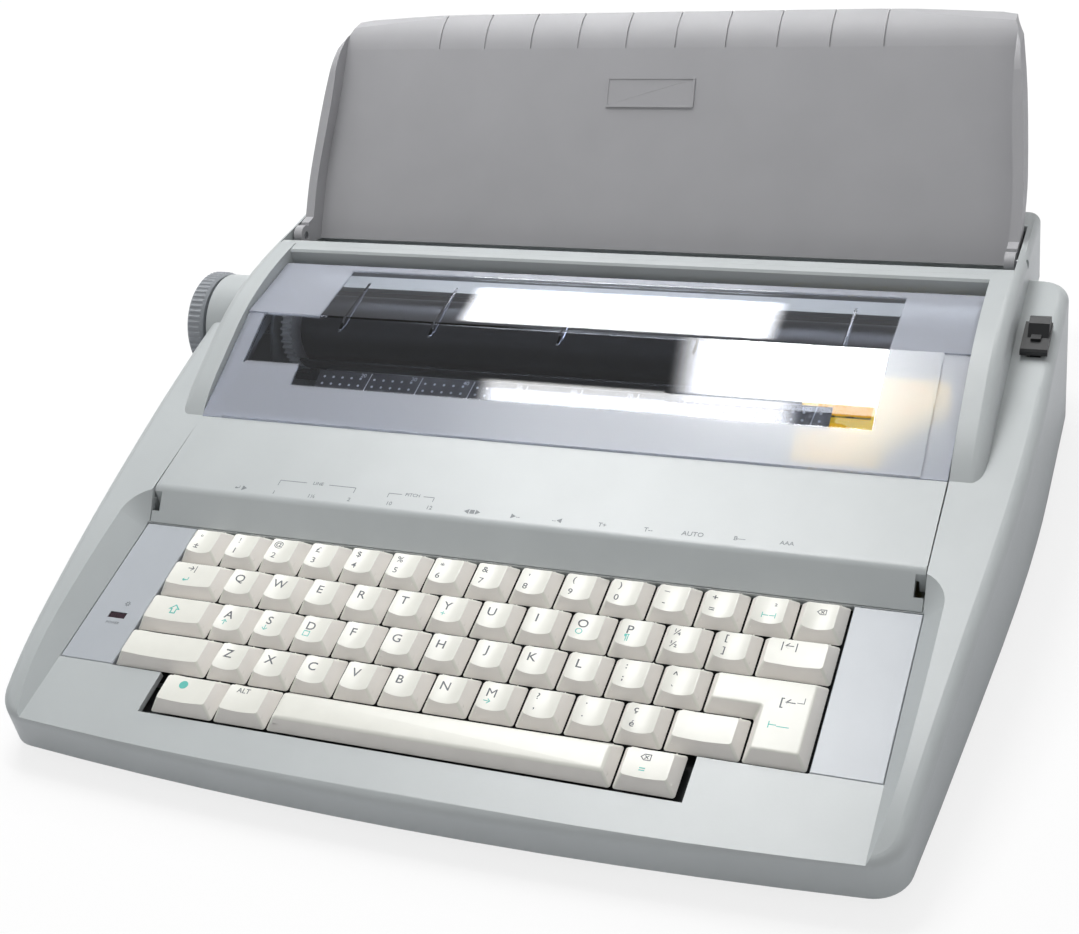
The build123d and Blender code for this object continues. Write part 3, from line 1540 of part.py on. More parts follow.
makers = {
    "lower_case": make_lower_case,
    "upper_case": make_upper_case,
    "case_screws": make_case_screws,
    "rubber_feet": make_feet,
    "left_side_plate": lambda: make_side_plate(-1),
    "right_side_plate": lambda: make_side_plate(1),
    "lamp_window": make_lamp_window,
    "top_cover": make_top_cover,
    "clear_lid": make_clear_lid,
    "cover_pins": make_cover_pins,
    "scale_strip": make_scale_strip,
    "return_key": make_return_key,
    "keyboard_plate": lambda: keyboard_sheet(keyboard_plate_top, keyboard_plate_thickness,
                                             key_stem + stem_clearance),
    "dome_sheet": lambda: keyboard_sheet(keyboard_plate_top - keyboard_plate_thickness,
                                         dome_sheet_thickness, key_stem + 1.6),
    "keyboard_board": lambda: keyboard_sheet(keyboard_bottom + board_thickness, board_thickness, 0),
    "platen": make_platen,
    "platen_shaft": make_platen_shaft,
    "platen_knob": make_platen_knob,
    "platen_gear": lambda: make_gear(platen_centre, platen_teeth, 0, shaft_radius + shaft_clearance / 2),
    "idler_gear": lambda: make_gear(idler_centre, idler_teeth, idler_phase,
                                    idler_pin_radius + shaft_clearance),
    "feed_pinion": make_feed_pinion,
    "feed_motor": make_feed_motor,
    "pinch_rollers": make_pinch_rollers,
    "pinch_shaft": make_pinch_shaft,
    "paper_pan": make_paper_pan,
    "left_frame": lambda: make_side_frame(-1),
    "right_frame": lambda: make_side_frame(1),
    "release_lever": make_release_lever,
    "paper_support": make_paper_support,
    "support_pins": make_support_pins,
    "carriage_rail": make_carriage_rail,
    "carriage": make_carriage,
    "ribbon_cassette": make_ribbon_cassette,
    "daisy_wheel": make_daisy_wheel,
    "wheel_motor": make_wheel_motor,
    "print_hammer": make_print_hammer,
    "hammer_solenoid": make_hammer_solenoid,
    "correction_spools": make_correction_spools,
    "carriage_motor": make_carriage_motor,
    "drive_pulley": make_drive_pulley,
    "idler_pulley": make_idler_pulley,
    "drive_belt": make_drive_belt,
    "main_board": make_main_board,
    "mains_inlet": make_mains_inlet,
    "switch_housing": make_switch_housing,
    "power_rocker": make_power_rocker,
    "transformer": make_transformer,
}


def write_pieces():
    for name, (row, start, count) in plain_rows.items():
        write_piece(name, make_key_row(row, start, count))
    for name, (row, start, width, dished) in wide_keys.items():
        write_piece(name, make_wide_key(row, start, width))
    for name, maker in makers.items():
        write_piece(name, maker())
        print("made", name)


if __name__ == "__main__":
    write_pieces()
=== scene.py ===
import math

import bmesh
import bpy
from mathutils import Matrix, Vector


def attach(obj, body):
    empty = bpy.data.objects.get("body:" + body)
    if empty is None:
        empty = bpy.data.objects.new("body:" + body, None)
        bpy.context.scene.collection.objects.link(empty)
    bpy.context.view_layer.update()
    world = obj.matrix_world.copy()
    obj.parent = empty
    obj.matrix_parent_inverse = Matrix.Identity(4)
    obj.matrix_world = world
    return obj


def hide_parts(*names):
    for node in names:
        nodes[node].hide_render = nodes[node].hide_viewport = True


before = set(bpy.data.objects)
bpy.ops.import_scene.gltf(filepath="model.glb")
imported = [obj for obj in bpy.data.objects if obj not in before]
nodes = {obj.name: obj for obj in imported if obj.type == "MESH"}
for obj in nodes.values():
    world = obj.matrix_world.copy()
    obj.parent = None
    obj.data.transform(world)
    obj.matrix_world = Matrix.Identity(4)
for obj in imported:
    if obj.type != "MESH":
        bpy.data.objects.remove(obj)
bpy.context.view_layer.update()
print("frame loaded,", len(nodes), "nodes")

# The machine was laid out in millimetres from its front edge and centre line;
# the frame's origin is under the middle of its box.
layout = {"shiftX": 6.7, "shiftY": -193.65, "deckTilt": 8.0, "deckY": 39.5, "deckZ": 25.1,
          "keyPitch": 19.05, "keysAcross": 15}


def place(x, y, z):
    # machine millimetres to scene metres
    return Vector(((x + layout["shiftX"]) / 1000, (y + layout["shiftY"]) / 1000, z / 1000))


def deckPlace(u, v, w):
    # a point on the sloping keyboard deck: u across, v up the slope, w above it
    tilt = math.radians(layout["deckTilt"])
    y = layout["deckY"] + v * math.cos(tilt) - w * math.sin(tilt)
    z = layout["deckZ"] + v * math.sin(tilt) + w * math.cos(tilt)
    return place(u, y, z)


# Camera, from the fit of the key grid and the case corners in the photograph
cameraSetup = {"spot": (263.1, -351.2, 451.5), "right": (0.9241, 0.3495, -0.1547),
               "down": (0.0866, -0.5857, -0.8059), "lens": 56.04, "sensor": 36.0}

cameraData = bpy.data.cameras.new("photoCamera")
cameraData.lens = cameraSetup["lens"]
cameraData.sensor_width = cameraSetup["sensor"]
cameraData.sensor_fit = "HORIZONTAL"
cameraData.clip_start = 0.01
cameraData.clip_end = 50
camera = bpy.data.objects.new("photoCamera", cameraData)
bpy.context.scene.collection.objects.link(camera)
right = Vector(cameraSetup["right"]).normalized()
up = -Vector(cameraSetup["down"])
up = (up - up.dot(right) * right).normalized()
back = right.cross(up)
turn = Matrix((right, up, back)).transposed().to_4x4()
camera.matrix_world = Matrix.Translation(place(*cameraSetup["spot"])) @ turn
bpy.context.scene.camera = camera
bpy.context.scene.view_settings.view_transform = "Standard"
print("camera set")


# Nodes and colours

def srgb(text):
    # hex colour as written to the linear values that Blender takes
    out = []
    for i in (1, 3, 5):
        c = int(text[i:i + 2], 16) / 255
        out.append(c / 12.92 if c <= 0.04045 else ((c + 0.055) / 1.055) ** 2.4)
    return (*out, 1.0)


def addNode(tree, kind, inputs=None, settings=None):
    # a value goes into the socket, a socket is linked to it
    node = tree.nodes.new("ShaderNode" + kind)
    for name, value in (settings or {}).items():
        setattr(node, name, value)
    for name, value in (inputs or {}).items():
        socket = node.inputs[name]
        if isinstance(value, bpy.types.NodeSocket):
            tree.links.new(value, socket)
        else:
            socket.default_value = value
    return node


def newMaterial(name, values):
    # a principled material, with a light mottle of its colour and a fine grain
    material = bpy.data.materials.new(name)
    material.use_nodes = True
    tree = material.node_tree
    tree.nodes.clear()
    out = addNode(tree, "OutputMaterial")
    # an emission glow, where a finish gives one, is painted light
    shader = addNode(tree, "BsdfPrincipled", {
        "Metallic": values.get("metallic", 0.0),
        "Roughness": values["roughness"],
        "IOR": 1.5,
        "Emission Color": srgb(values["colour"]),
        "Emission Strength": values.get("glow", 0.0)})
    tree.links.new(shader.outputs[0], out.inputs[0])
    coords = addNode(tree, "TexCoord").outputs["Object"]
    if "mottle" in values:
        blotch = addNode(tree, "TexNoise", {"Vector": coords, "Scale": 1000 / values["mottleMm"],
                                            "Detail": 3.0})
        ramp = addNode(tree, "ValToRGB", {"Fac": blotch.outputs["Fac"]})
        ramp.color_ramp.elements[0].position = 0.3
        ramp.color_ramp.elements[0].color = srgb(values["mottle"])
        ramp.color_ramp.elements[1].position = 0.7
        ramp.color_ramp.elements[1].color = srgb(values["colour"])
        tree.links.new(ramp.outputs["Color"], shader.inputs["Base Color"])
    else:
        shader.inputs["Base Color"].default_value = srgb(values["colour"])
    if "grainMm" in values:
        grain = addNode(tree, "TexNoise", {"Vector": coords, "Scale": 1000 / values["grainMm"],
                                           "Detail": 2.0})
        bump = addNode(tree, "Bump", {"Strength": values["grainStrength"],
                                      "Distance": values["grainDepthMm"] / 1000,
                                      "Height": grain.outputs["Fac"]})
        tree.links.new(bump.outputs["Normal"], shader.inputs["Normal"])
        # the roughness varies a little with the grain
        sway = 0.05
        spread = addNode(tree, "MapRange", {"Value": grain.outputs["Fac"],
                                            "To Min": values["roughness"] - sway,
                                            "To Max": values["roughness"] + sway})
        tree.links.new(spread.outputs["Result"], shader.inputs["Roughness"])
    return material


finishes = {
    # moulded ABS housing, fine spark-eroded grain: an even satin grey with soft highlights
    "mouldedCase": {"colour": "#B5BABB", "mottle": "#B1B6B7", "mottleMm": 30, "roughness": 0.35,
                    "grainMm": 1.1, "grainDepthMm": 0.05, "grainStrength": 0.25},
    # moulded ABS knob in the housing's grey plastic, coloured a darker grey than the housing: painted shade
    # for its face turned away from the light
    "knobGreyPaintedShade": {"colour": "#94989D", "mottle": "#909499", "mottleMm": 20, "roughness": 0.45,
                 "grainMm": 0.9, "grainDepthMm": 0.04, "grainStrength": 0.25},
    # moulded ABS plates beside the keys, a little bluer and smoother than the housing
    "satinPlate": {"colour": "#AEB3B9", "mottle": "#AAAFB5", "mottleMm": 24, "roughness": 0.33,
                   "grainMm": 0.9, "grainDepthMm": 0.03, "grainStrength": 0.2},
    # moulded ABS paper support in a darker grey
    "supportGrey": {"colour": "#A9A9AC", "mottle": "#A5A5A8", "mottleMm": 30, "roughness": 0.55,
                    "grainMm": 1.1, "grainDepthMm": 0.05, "grainStrength": 0.25},
    # moulded ABS key: warm white, with a faint grain that wear has not yet polished
    "keyWhite": {"colour": "#E4E4DC", "mottle": "#E0E0D8", "mottleMm": 9, "roughness": 0.36,
                 "grainMm": 0.7, "grainDepthMm": 0.02, "grainStrength": 0.2},
    # sides of a key: the same white plastic as its top, given a colour of their own as a painted tone for
    # how light falls on the sides
    "keySidePaintedTone": {"colour": "#E8E5E0", "mottle": "#E4E1DC", "mottleMm": 9, "roughness": 0.45,
                "grainMm": 0.7, "grainDepthMm": 0.02, "grainStrength": 0.2},
    # printed legend, dark grey ink sealed into the key
    "legendInk": {"colour": "#50545A", "mottle": "#585C62", "mottleMm": 1.5, "roughness": 0.5},
    # printed legend of a second function, blue-green ink
    "tealInk": {"colour": "#4FB3A9", "mottle": "#5ABBB1", "mottleMm": 1.5, "roughness": 0.5},
    # marks printed on the housing, mid grey ink
    "markInk": {"colour": "#6F7478", "mottle": "#777C80", "mottleMm": 1.5, "roughness": 0.5},
    # white print on the typing scale
    "scaleInk": {"colour": "#D8DADA", "mottle": "#D0D2D2", "mottleMm": 1.5, "roughness": 0.5},
    # ground nitrile rubber of the platen: nearly black, a little sheen
    "platenRubber": {"colour": "#191A1C", "mottle": "#141517", "mottleMm": 6, "roughness": 0.38,
                     "grainMm": 0.6, "grainDepthMm": 0.02, "grainStrength": 0.3},
    # plain rubber of feet, rollers and belt
    "plainRubber": {"colour": "#2C2D2F", "mottle": "#26272A", "mottleMm": 5, "roughness": 0.75,
                    "grainMm": 0.6, "grainDepthMm": 0.03, "grainStrength": 0.3},
    # black ABS of lever, paper pan and sockets
    "blackPlastic": {"colour": "#1C1D1F", "mottle": "#191A1C", "mottleMm": 10, "roughness": 0.4,
                     "grainMm": 0.8, "grainDepthMm": 0.03, "grainStrength": 0.25},
    # glass-filled nylon of the carriage and print wheel: dark, slightly streaked
    "darkNylon": {"colour": "#34373B", "mottle": "#2E3034", "mottleMm": 7, "roughness": 0.5,
                  "grainMm": 0.7, "grainDepthMm": 0.03, "grainStrength": 0.25},
    # acetal gears and pulleys: milky white with a low gloss
    "whiteAcetal": {"colour": "#E6E6E0", "mottle": "#DEDED8", "mottleMm": 8, "roughness": 0.35,
                    "grainMm": 0.8, "grainDepthMm": 0.01, "grainStrength": 0.15},
    # polystyrene ribbon cassette: glossy yellow, with a painted glow standing in for the light it lets
    # through
    "yellowStyrene": {"colour": "#FFD51C", "mottle": "#FBCE16", "mottleMm": 9, "roughness": 0.22,
                      "glow": 0.34, "grainMm": 1.2, "grainDepthMm": 0.01, "grainStrength": 0.1},
    # ground steel bar: bright, fine turning marks
    "groundSteel": {"colour": "#A6A9AC", "metallic": 1.0, "roughness": 0.28,
                    "grainMm": 0.5, "grainDepthMm": 0.01, "grainStrength": 0.3},
    # zinc-plated sheet steel: bright grey with a faint spangle
    "zincSteel": {"colour": "#BCC0C0", "mottle": "#AEB2B3", "mottleMm": 5, "metallic": 1.0,
                  "roughness": 0.36, "grainMm": 1.5, "grainDepthMm": 0.01, "grainStrength": 0.2},
    # blacked sheet steel of the plate under the keys: dark, nearly matt
    "blackedSteel": {"colour": "#2E3032", "mottle": "#292B2D", "mottleMm": 8, "metallic": 0.6,
                     "roughness": 0.6, "grainMm": 0.8, "grainDepthMm": 0.01, "grainStrength": 0.2},
    # turned brass pinion
    "turnedBrass": {"colour": "#C8A558", "metallic": 1.0, "roughness": 0.3,
                    "grainMm": 0.5, "grainDepthMm": 0.01, "grainStrength": 0.2},
    # glass-epoxy board under green solder resist
    "solderResist": {"colour": "#2C5A38", "mottle": "#244C2F", "mottleMm": 3, "roughness": 0.35,
                     "grainMm": 1.0, "grainDepthMm": 0.02, "grainStrength": 0.2},
    # moulded silicone dome sheet: milky grey
    "silicone": {"colour": "#9A9D9E", "mottle": "#929596", "mottleMm": 8, "roughness": 0.6,
                 "grainMm": 0.8, "grainDepthMm": 0.02, "grainStrength": 0.2},
    # varnished transformer laminations
    "varnishedIron": {"colour": "#5B4A3A", "mottle": "#4A3C30", "mottleMm": 4, "roughness": 0.45,
                      "grainMm": 0.5, "grainDepthMm": 0.03, "grainStrength": 0.4},
    # printed styrene strip of the typing scale
    "scaleStrip": {"colour": "#141517", "mottle": "#18191B", "mottleMm": 6, "roughness": 0.4,
                   "grainMm": 0.8, "grainDepthMm": 0.01, "grainStrength": 0.1},
    # red acrylic of the lamp window, dark when unlit
    "lampAcrylic": {"colour": "#33202A", "mottle": "#2B1C24", "mottleMm": 2, "roughness": 0.15,
                    "grainMm": 0.8, "grainDepthMm": 0.01, "grainStrength": 0.1},
}
material = {name: newMaterial(name, values) for name, values in finishes.items()}


# The window: clear acrylic, polished over the print line and frosted round it.
# Each polished zone is its left, right, front and rear edge in machine millimetres.
window = {"polished": ((-130.0, 136.0, 190.0, 266.0), (-160.0, -120.0, 201.0, 228.0)), "edgeMm": 0.6,
          "frostRoughness": 0.22, "frostBody": 0.3, "colour": "#E3E8F4", "ior": 1.49, "specular": 0.3,
          "grainScale": 1400.0, "grainStrength": 0.3, "grainDepthMm": 0.04}


def addBand(tree, value, low, high, edge):
    # 1 where the value lies from low to high, falling to 0 over the edge's width
    middle = addNode(tree, "Math", {0: value, 1: (low + high) / 2}, {"operation": "SUBTRACT"})
    away = addNode(tree, "Math", {0: middle.outputs[0]}, {"operation": "ABSOLUTE"})
    return addNode(tree, "MapRange", {"Value": away.outputs[0], "From Min": (high - low) / 2,
                                      "From Max": (high - low) / 2 - edge}).outputs["Result"]


def makeWindowMaterial():
    acrylic = bpy.data.materials.new("clearAcrylic")
    acrylic.use_nodes = True
    tree = acrylic.node_tree
    tree.nodes.clear()
    out = addNode(tree, "OutputMaterial")
    shader = addNode(tree, "BsdfPrincipled", {"Base Color": srgb(window["colour"]), "IOR": window["ior"],
                                              "Transmission Weight": 1.0,
                                              "Specular IOR Level": window["specular"]})
    tree.links.new(shader.outputs[0], out.inputs[0])
    coords = addNode(tree, "TexCoord").outputs["Object"]
    parts = addNode(tree, "SeparateXYZ", {"Vector": coords})
    zones = []
    for left, right, front, rear in window["polished"]:
        low, high = place(left, front, 0), place(right, rear, 0)
        across = addBand(tree, parts.outputs["X"], low.x, high.x, window["edgeMm"] / 1000)
        along = addBand(tree, parts.outputs["Y"], low.y, high.y, window["edgeMm"] / 1000)
        zones.append(addNode(tree, "Math", {0: across, 1: along}, {"operation": "MULTIPLY"}))
    polished = addNode(tree, "Math", {0: zones[0].outputs[0], 1: zones[1].outputs[0]},
                       {"operation": "MAXIMUM"})
    frost = addNode(tree, "Math", {0: 1.0, 1: polished.outputs[0]}, {"operation": "SUBTRACT"})
    grain = addNode(tree, "TexNoise", {"Vector": coords, "Scale": window["grainScale"], "Detail": 2.0})
    strength = addNode(tree, "MapRange", {"Value": frost.outputs[0], "To Min": 0.0,
                                          "To Max": window["frostRoughness"]})
    clear = addNode(tree, "MapRange", {"Value": frost.outputs[0], "To Min": 1.0,
                                       "To Max": 1 - window["frostBody"]})
    tree.links.new(clear.outputs["Result"], shader.inputs["Transmission Weight"])
    bumpHeight = addNode(tree, "Math", {0: grain.outputs["Fac"], 1: frost.outputs[0]},
                         {"operation": "MULTIPLY"})
    bump = addNode(tree, "Bump", {"Strength": window["grainStrength"],
                                  "Distance": window["grainDepthMm"] / 1000,
                                  "Height": bumpHeight.outputs[0]})
    tree.links.new(strength.outputs["Result"], shader.inputs["Roughness"])
    tree.links.new(bump.outputs["Normal"], shader.inputs["Normal"])
    return acrylic


material["clearAcrylic"] = makeWindowMaterial()

nodeFinish = {
    "mouldedCase": ["lower_case", "upper_case", "top_cover"],
    # the knob's darker grey is painted shade
    "knobGreyPaintedShade": ["platen_knob"],
    "satinPlate": ["left_side_plate", "right_side_plate"],
    "supportGrey": ["paper_support"],
    "clearAcrylic": ["clear_lid"],
    "platenRubber": ["platen"],
    "plainRubber": ["rubber_feet", "pinch_rollers", "drive_belt"],
    "blackPlastic": ["paper_pan", "release_lever", "mains_inlet", "switch_housing", "power_rocker"],
    "darkNylon": ["carriage", "daisy_wheel"],
    "whiteAcetal": ["platen_gear", "idler_gear", "correction_spools", "drive_pulley", "idler_pulley"],
    "yellowStyrene": ["ribbon_cassette"],
    "groundSteel": ["cover_pins", "support_pins", "platen_shaft", "pinch_shaft", "carriage_rail",
                    "print_hammer"],
    "zincSteel": ["left_frame", "right_frame", "case_screws", "feed_motor", "carriage_motor", "wheel_motor",
                  "hammer_solenoid"],
    "blackedSteel": ["keyboard_plate"],
    "turnedBrass": ["feed_pinion"],
    "solderResist": ["keyboard_board", "main_board"],
    "silicone": ["dome_sheet"],
    "varnishedIron": ["transformer"],
    "scaleStrip": ["scale_strip"],
    "lampAcrylic": ["lamp_window"],
}
finishOf = {node: name for name, members in nodeFinish.items() for node in members}
for name, obj in nodes.items():
    finish = material[finishOf.get(name, "keyWhite")]
    obj.data.materials.clear()
    obj.data.materials.append(finish)
print("finishes given to the nodes")


# Modelling helpers

def take(piece):
    # selects the piece alone and makes it active
    bpy.ops.object.select_all(action="DESELECT")
    piece.select_set(True)
    bpy.context.view_layer.objects.active = piece


def startBox(name, size, centre=(0, 0, 0)):
    # a block of that size in millimetres, about a centre in millimetres
    bpy.ops.object.select_all(action="DESELECT")
    bpy.ops.mesh.primitive_cube_add(size=0.001, location=(0, 0, 0))
    piece = bpy.context.active_object
    piece.name = name
    bpy.ops.object.mode_set(mode="EDIT")
    bpy.ops.mesh.select_all(action="SELECT")
    bpy.ops.transform.resize(value=size, center_override=(0, 0, 0))
    bpy.ops.transform.translate(value=Vector(centre) / 1000)
    bpy.ops.object.mode_set(mode="OBJECT")
    return piece


def startRod(name, radius, length, sides):
    # an upright rod in millimetres, standing on the origin
    bpy.ops.object.select_all(action="DESELECT")
    bpy.ops.mesh.primitive_cylinder_add(vertices=sides, radius=radius / 1000, depth=length / 1000,
                                        location=(0, 0, 0))
    piece = bpy.context.active_object
    piece.name = name
    bpy.ops.object.mode_set(mode="EDIT")
    bpy.ops.mesh.select_all(action="SELECT")
    bpy.ops.transform.translate(value=(0, 0, length / 2000))
    bpy.ops.object.mode_set(mode="OBJECT")
    return piece


def choose(piece, kind, test):
    # in edit mode, selects the vertices, edges or faces that pass the test
    bpy.ops.mesh.select_mode(type=kind)
    bpy.ops.mesh.select_all(action="DESELECT")
    mesh = bmesh.from_edit_mesh(piece.data)
    for item in {"VERT": mesh.verts, "EDGE": mesh.edges, "FACE": mesh.faces}[kind]:
        if test(item):
            item.select_set(True)
    bmesh.update_edit_mesh(piece.data)


def edit(piece):
    take(piece)
    bpy.ops.object.mode_set(mode="EDIT")


def leaveEdit():
    bpy.ops.object.mode_set(mode="OBJECT")


def climbs(edge, least):
    # whether the edge's ends differ in height by more than so many millimetres
    return abs(edge.verts[0].co.z - edge.verts[1].co.z) > least / 1000


def cutWith(piece, tool):
    # cuts the tool's shape out of the piece and throws the tool away
    take(piece)
    cut = piece.modifiers.new("cut", "BOOLEAN")
    cut.operation = "DIFFERENCE"
    cut.object = tool
    bpy.ops.object.modifier_apply(modifier=cut.name)
    bpy.data.objects.remove(tool)


def smooth(piece, angle=35):
    take(piece)
    bpy.ops.object.shade_smooth_by_angle(angle=math.radians(angle))


def setMaterials(piece, *names):
    piece.data.materials.clear()
    for name in names:
        piece.data.materials.append(material[name])


def copyAt(piece, matrix, name):
    # a copy with its own mesh, its place applied
    twin = bpy.data.objects.new(name, piece.data.copy())
    bpy.context.scene.collection.objects.link(twin)
    twin.data.transform(matrix)
    return twin


def joinAll(name, pieces):
    bpy.ops.object.select_all(action="DESELECT")
    for piece in pieces:
        piece.select_set(True)
    bpy.context.view_layer.objects.active = pieces[0]
    if len(pieces) > 1:
        bpy.ops.object.join()
    pieces[0].name = name
    pieces[0].data.name = name
    return pieces[0]


lettering = {"capitalShare": 0.69, "bolder": 0.012, "curveSteps": 3}


def letterMesh(text, height, ink, depth=0.03):
    # flat lettering of that capital height in millimetres, centred on the origin
    bpy.ops.object.select_all(action="DESELECT")
    bpy.ops.object.text_add(location=(0, 0, 0))
    letters = bpy.context.active_object
    letters.data.body = text
    letters.data.size = height / lettering["capitalShare"] / 1000
    letters.data.extrude = depth / 1000
    # a little bolder, but for an M, whose outline would fold over itself
    letters.data.offset = 0 if "M" in text else height * lettering["bolder"] / 1000
    letters.data.resolution_u = lettering["curveSteps"]
    bpy.ops.object.convert(target="MESH")
    letters = bpy.context.active_object
    xs = [vertex.co.x for vertex in letters.data.vertices]
    ys = [vertex.co.y for vertex in letters.data.vertices]
    middle = Vector(((min(xs) + max(xs)) / 2, (min(ys) + max(ys)) / 2, 0))
    letters.data.transform(Matrix.Translation(-middle))
    setMaterials(letters, ink)
    return letters


# Keys: one cap is modelled for each width and copied along its row

cap = {"rise": 4.5, "drop": 1.0, "gap": 0.8, "side": 3.0, "front": 3.2, "rear": 3.6, "corner": 1.0,
       "rim": 0.45, "flatRim": 1.1, "stepRim": 0.6, "dishDepth": 1.1, "wideDish": 0.5, "dishFacet": 0.8,
       "dishLength": 60, "widestDish": 3, "wall": 3.2, "hollow": 3.0, "upright": 4}
# least share of up in the normal of a face that counts as level, as a cap's top, or as the key's white top
# rather than a side in its painted tone
facing = {"level": 0.9, "top": 0.85, "white": 0.55}
keyField = -layout["keyPitch"] * layout["keysAcross"] / 2


def dishRadius(width, depth):
    half = (width * layout["keyPitch"] - cap["gap"]) / 2 - cap["side"]
    return (half * half + depth * depth) / (2 * depth)


def capDish(width):
    # radius and depth of the dish in a key of that width
    if width > cap["widestDish"]:
        return None
    depth = cap["dishDepth"] if width == 1 else cap["wideDish"]
    return dishRadius(width, depth), depth


def paintKey(key):
    # white on top; the sides take their own colour, a painted tone for how light falls on them
    setMaterials(key, "keyWhite", "keySidePaintedTone")
    for face in key.data.polygons:
        face.material_index = 0 if face.normal.z > facing["white"] else 1
    smooth(key)


def modelCap(name, width):
    lowX = width * layout["keyPitch"] - cap["gap"]
    lowY = layout["keyPitch"] - cap["gap"]
    topX = lowX - 2 * cap["side"]
    topY = lowY - cap["front"] - cap["rear"]
    shift = (cap["front"] - cap["rear"]) / 2
    key = startBox(name, (lowX, lowY, cap["rise"] + cap["drop"]), (0, 0, (cap["rise"] - cap["drop"]) / 2))
    edit(key)
    choose(key, "FACE", lambda face: face.normal.z > facing["level"])
    bpy.ops.transform.resize(value=(topX / lowX, topY / lowY, 1),
                             center_override=(0, 0, cap["rise"] / 1000))
    bpy.ops.transform.translate(value=(0, shift / 1000, 0))
    choose(key, "EDGE", lambda edge: climbs(edge, cap["upright"]))
    bpy.ops.mesh.bevel(offset=cap["corner"] / 1000, segments=4, affect="EDGES")
    # hollow underside
    choose(key, "FACE", lambda face: face.normal.z < -facing["level"])
    bpy.ops.mesh.inset(thickness=cap["wall"] / 1000)
    bpy.ops.mesh.extrude_region_move(TRANSFORM_OT_translate={"value": (0, 0, cap["hollow"] / 1000)})
    leaveEdit()
    if capDish(width):
        radius, depth = capDish(width)
        sides = int(math.tau * radius / cap["dishFacet"])
        tool = startRod("dishTool", radius, cap["dishLength"], sides)
        tool.data.transform(Matrix.Rotation(math.pi / 2, 4, "X"))
        centre = (0, cap["dishLength"] / 2, cap["rise"] + radius - depth)
        tool.data.transform(Matrix.Translation(Vector(centre) / 1000))
        cutWith(key, tool)
    edit(key)
    rim = cap["rim"] if capDish(width) else cap["flatRim"]
    lowestRim = 0.0025

    def onRim(edge):
        tops = [face for face in edge.link_faces if face.normal.z > facing["top"]]
        return len(tops) == 1 and edge.verts[0].co.z > lowestRim

    choose(key, "EDGE", onRim)
    bpy.ops.mesh.bevel(offset=rim / 1000, segments=4, affect="EDGES", clamp_overlap=True)
    leaveEdit()
    paintKey(key)
    return key


def modelReturnKey():
    # an upper part 2.25 pitches wide over a lower one of 1.25, about the key's upper left corner
    pitch = layout["keyPitch"]
    left, right, low, high, step = 0, 2.25 * pitch, -2 * pitch, 0, pitch
    half = cap["gap"] / 2
    # each corner, and the way to the inside from it
    corners = [(left + half, high - half, 1, -1), (right - half, high - half, -1, -1),
               (right - half, low + half, -1, 1), (left + step + half, low + half, 1, 1),
               (left + step + half, high - step + half, 1, 1), (left + half, high - step + half, 1, 1)]
    middle = (cap["rise"] - cap["drop"]) / 2
    tall = cap["rise"] + cap["drop"]
    upper = startBox("returnKeyUpper", (right - left - 2 * half, step - 2 * half, tall),
                     ((left + right) / 2, high - step / 2, middle))
    edit(upper)
    # the lower part grows out of the front face, right of the step
    bpy.ops.mesh.select_all(action="SELECT")
    bpy.ops.mesh.bisect(plane_co=((left + step + half) / 1000, 0, 0), plane_no=(1, 0, 0))
    choose(upper, "FACE", lambda face: face.normal.y < -facing["level"] and
           face.calc_center_median().x > (left + step + half) / 1000)
    bpy.ops.mesh.extrude_region_move(TRANSFORM_OT_translate={"value": (0, -pitch / 1000, 0)})
    choose(upper, "EDGE", lambda edge: len(edge.link_faces) == 2 and edge.calc_face_angle() < 0.01)
    bpy.ops.mesh.dissolve_edges(use_verts=True)
    # the top draws in by the slope of each side
    lowestTop, near = 0.004, 0.3
    for x, y, signX, signY in corners:
        slopeY = cap["front"] if signY > 0 else cap["rear"]
        choose(upper, "VERT", lambda vertex: vertex.co.z > lowestTop and
               abs(vertex.co.x * 1000 - x) < near and abs(vertex.co.y * 1000 - y) < near)
        bpy.ops.transform.translate(value=(signX * cap["side"] / 1000, signY * slopeY / 1000, 0))
    choose(upper, "EDGE", lambda edge: climbs(edge, cap["upright"]))
    bpy.ops.mesh.bevel(offset=cap["corner"] / 1000, segments=4, affect="EDGES")
    choose(upper, "EDGE", lambda edge: len(edge.link_faces) == 2 and edge.verts[0].co.z > lowestTop and
           sum(face.normal.z > facing["top"] for face in edge.link_faces) == 1)
    bpy.ops.mesh.bevel(offset=cap["stepRim"] / 1000, segments=4, affect="EDGES")
    leaveEdit()
    paintKey(upper)
    return upper


def deckMatrix(u, v):
    return Matrix.Translation(deckPlace(u, v, 0)) @ Matrix.Rotation(math.radians(layout["deckTilt"]), 4, "X")


def topHeight(width, x):
    # height of a cap's top over its middle line, x to the side, in millimetres
    if not capDish(width):
        return cap["rise"]
    radius, depth = capDish(width)
    return min(cap["rise"], cap["rise"] + radius - depth - math.sqrt(max(radius * radius - x * x, 0)))


def printLegends(legends, width, u, v):
    # each legend: text, capital height, place right of and behind the top's middle, ink
    printed = []
    shift = (cap["front"] - cap["rear"]) / 2
    for text, height, x, y, ink in legends:
        letters = letterMesh(text, height, ink)
        letters.data.transform(Matrix.Translation((x / 1000, (y + shift) / 1000, 0)))
        for vertex in letters.data.vertices:
            vertex.co.z += topHeight(width, vertex.co.x * 1000) / 1000
        letters.data.transform(deckMatrix(u, v))
        printed.append(letters)
    return printed


def letterKey(letter, second=None):
    legends = [(letter, 3.8, -2.0, 1.5, "legendInk")]
    if second:
        legends.append((second, 2.5, -2.6, -2.4, "tealInk"))
    return legends


def pairKey(upperMark, lowerMark):
    return [(upperMark, 2.8, -2.9, 3.1, "legendInk"), (lowerMark, 2.8, -2.9, -2.7, "legendInk")]


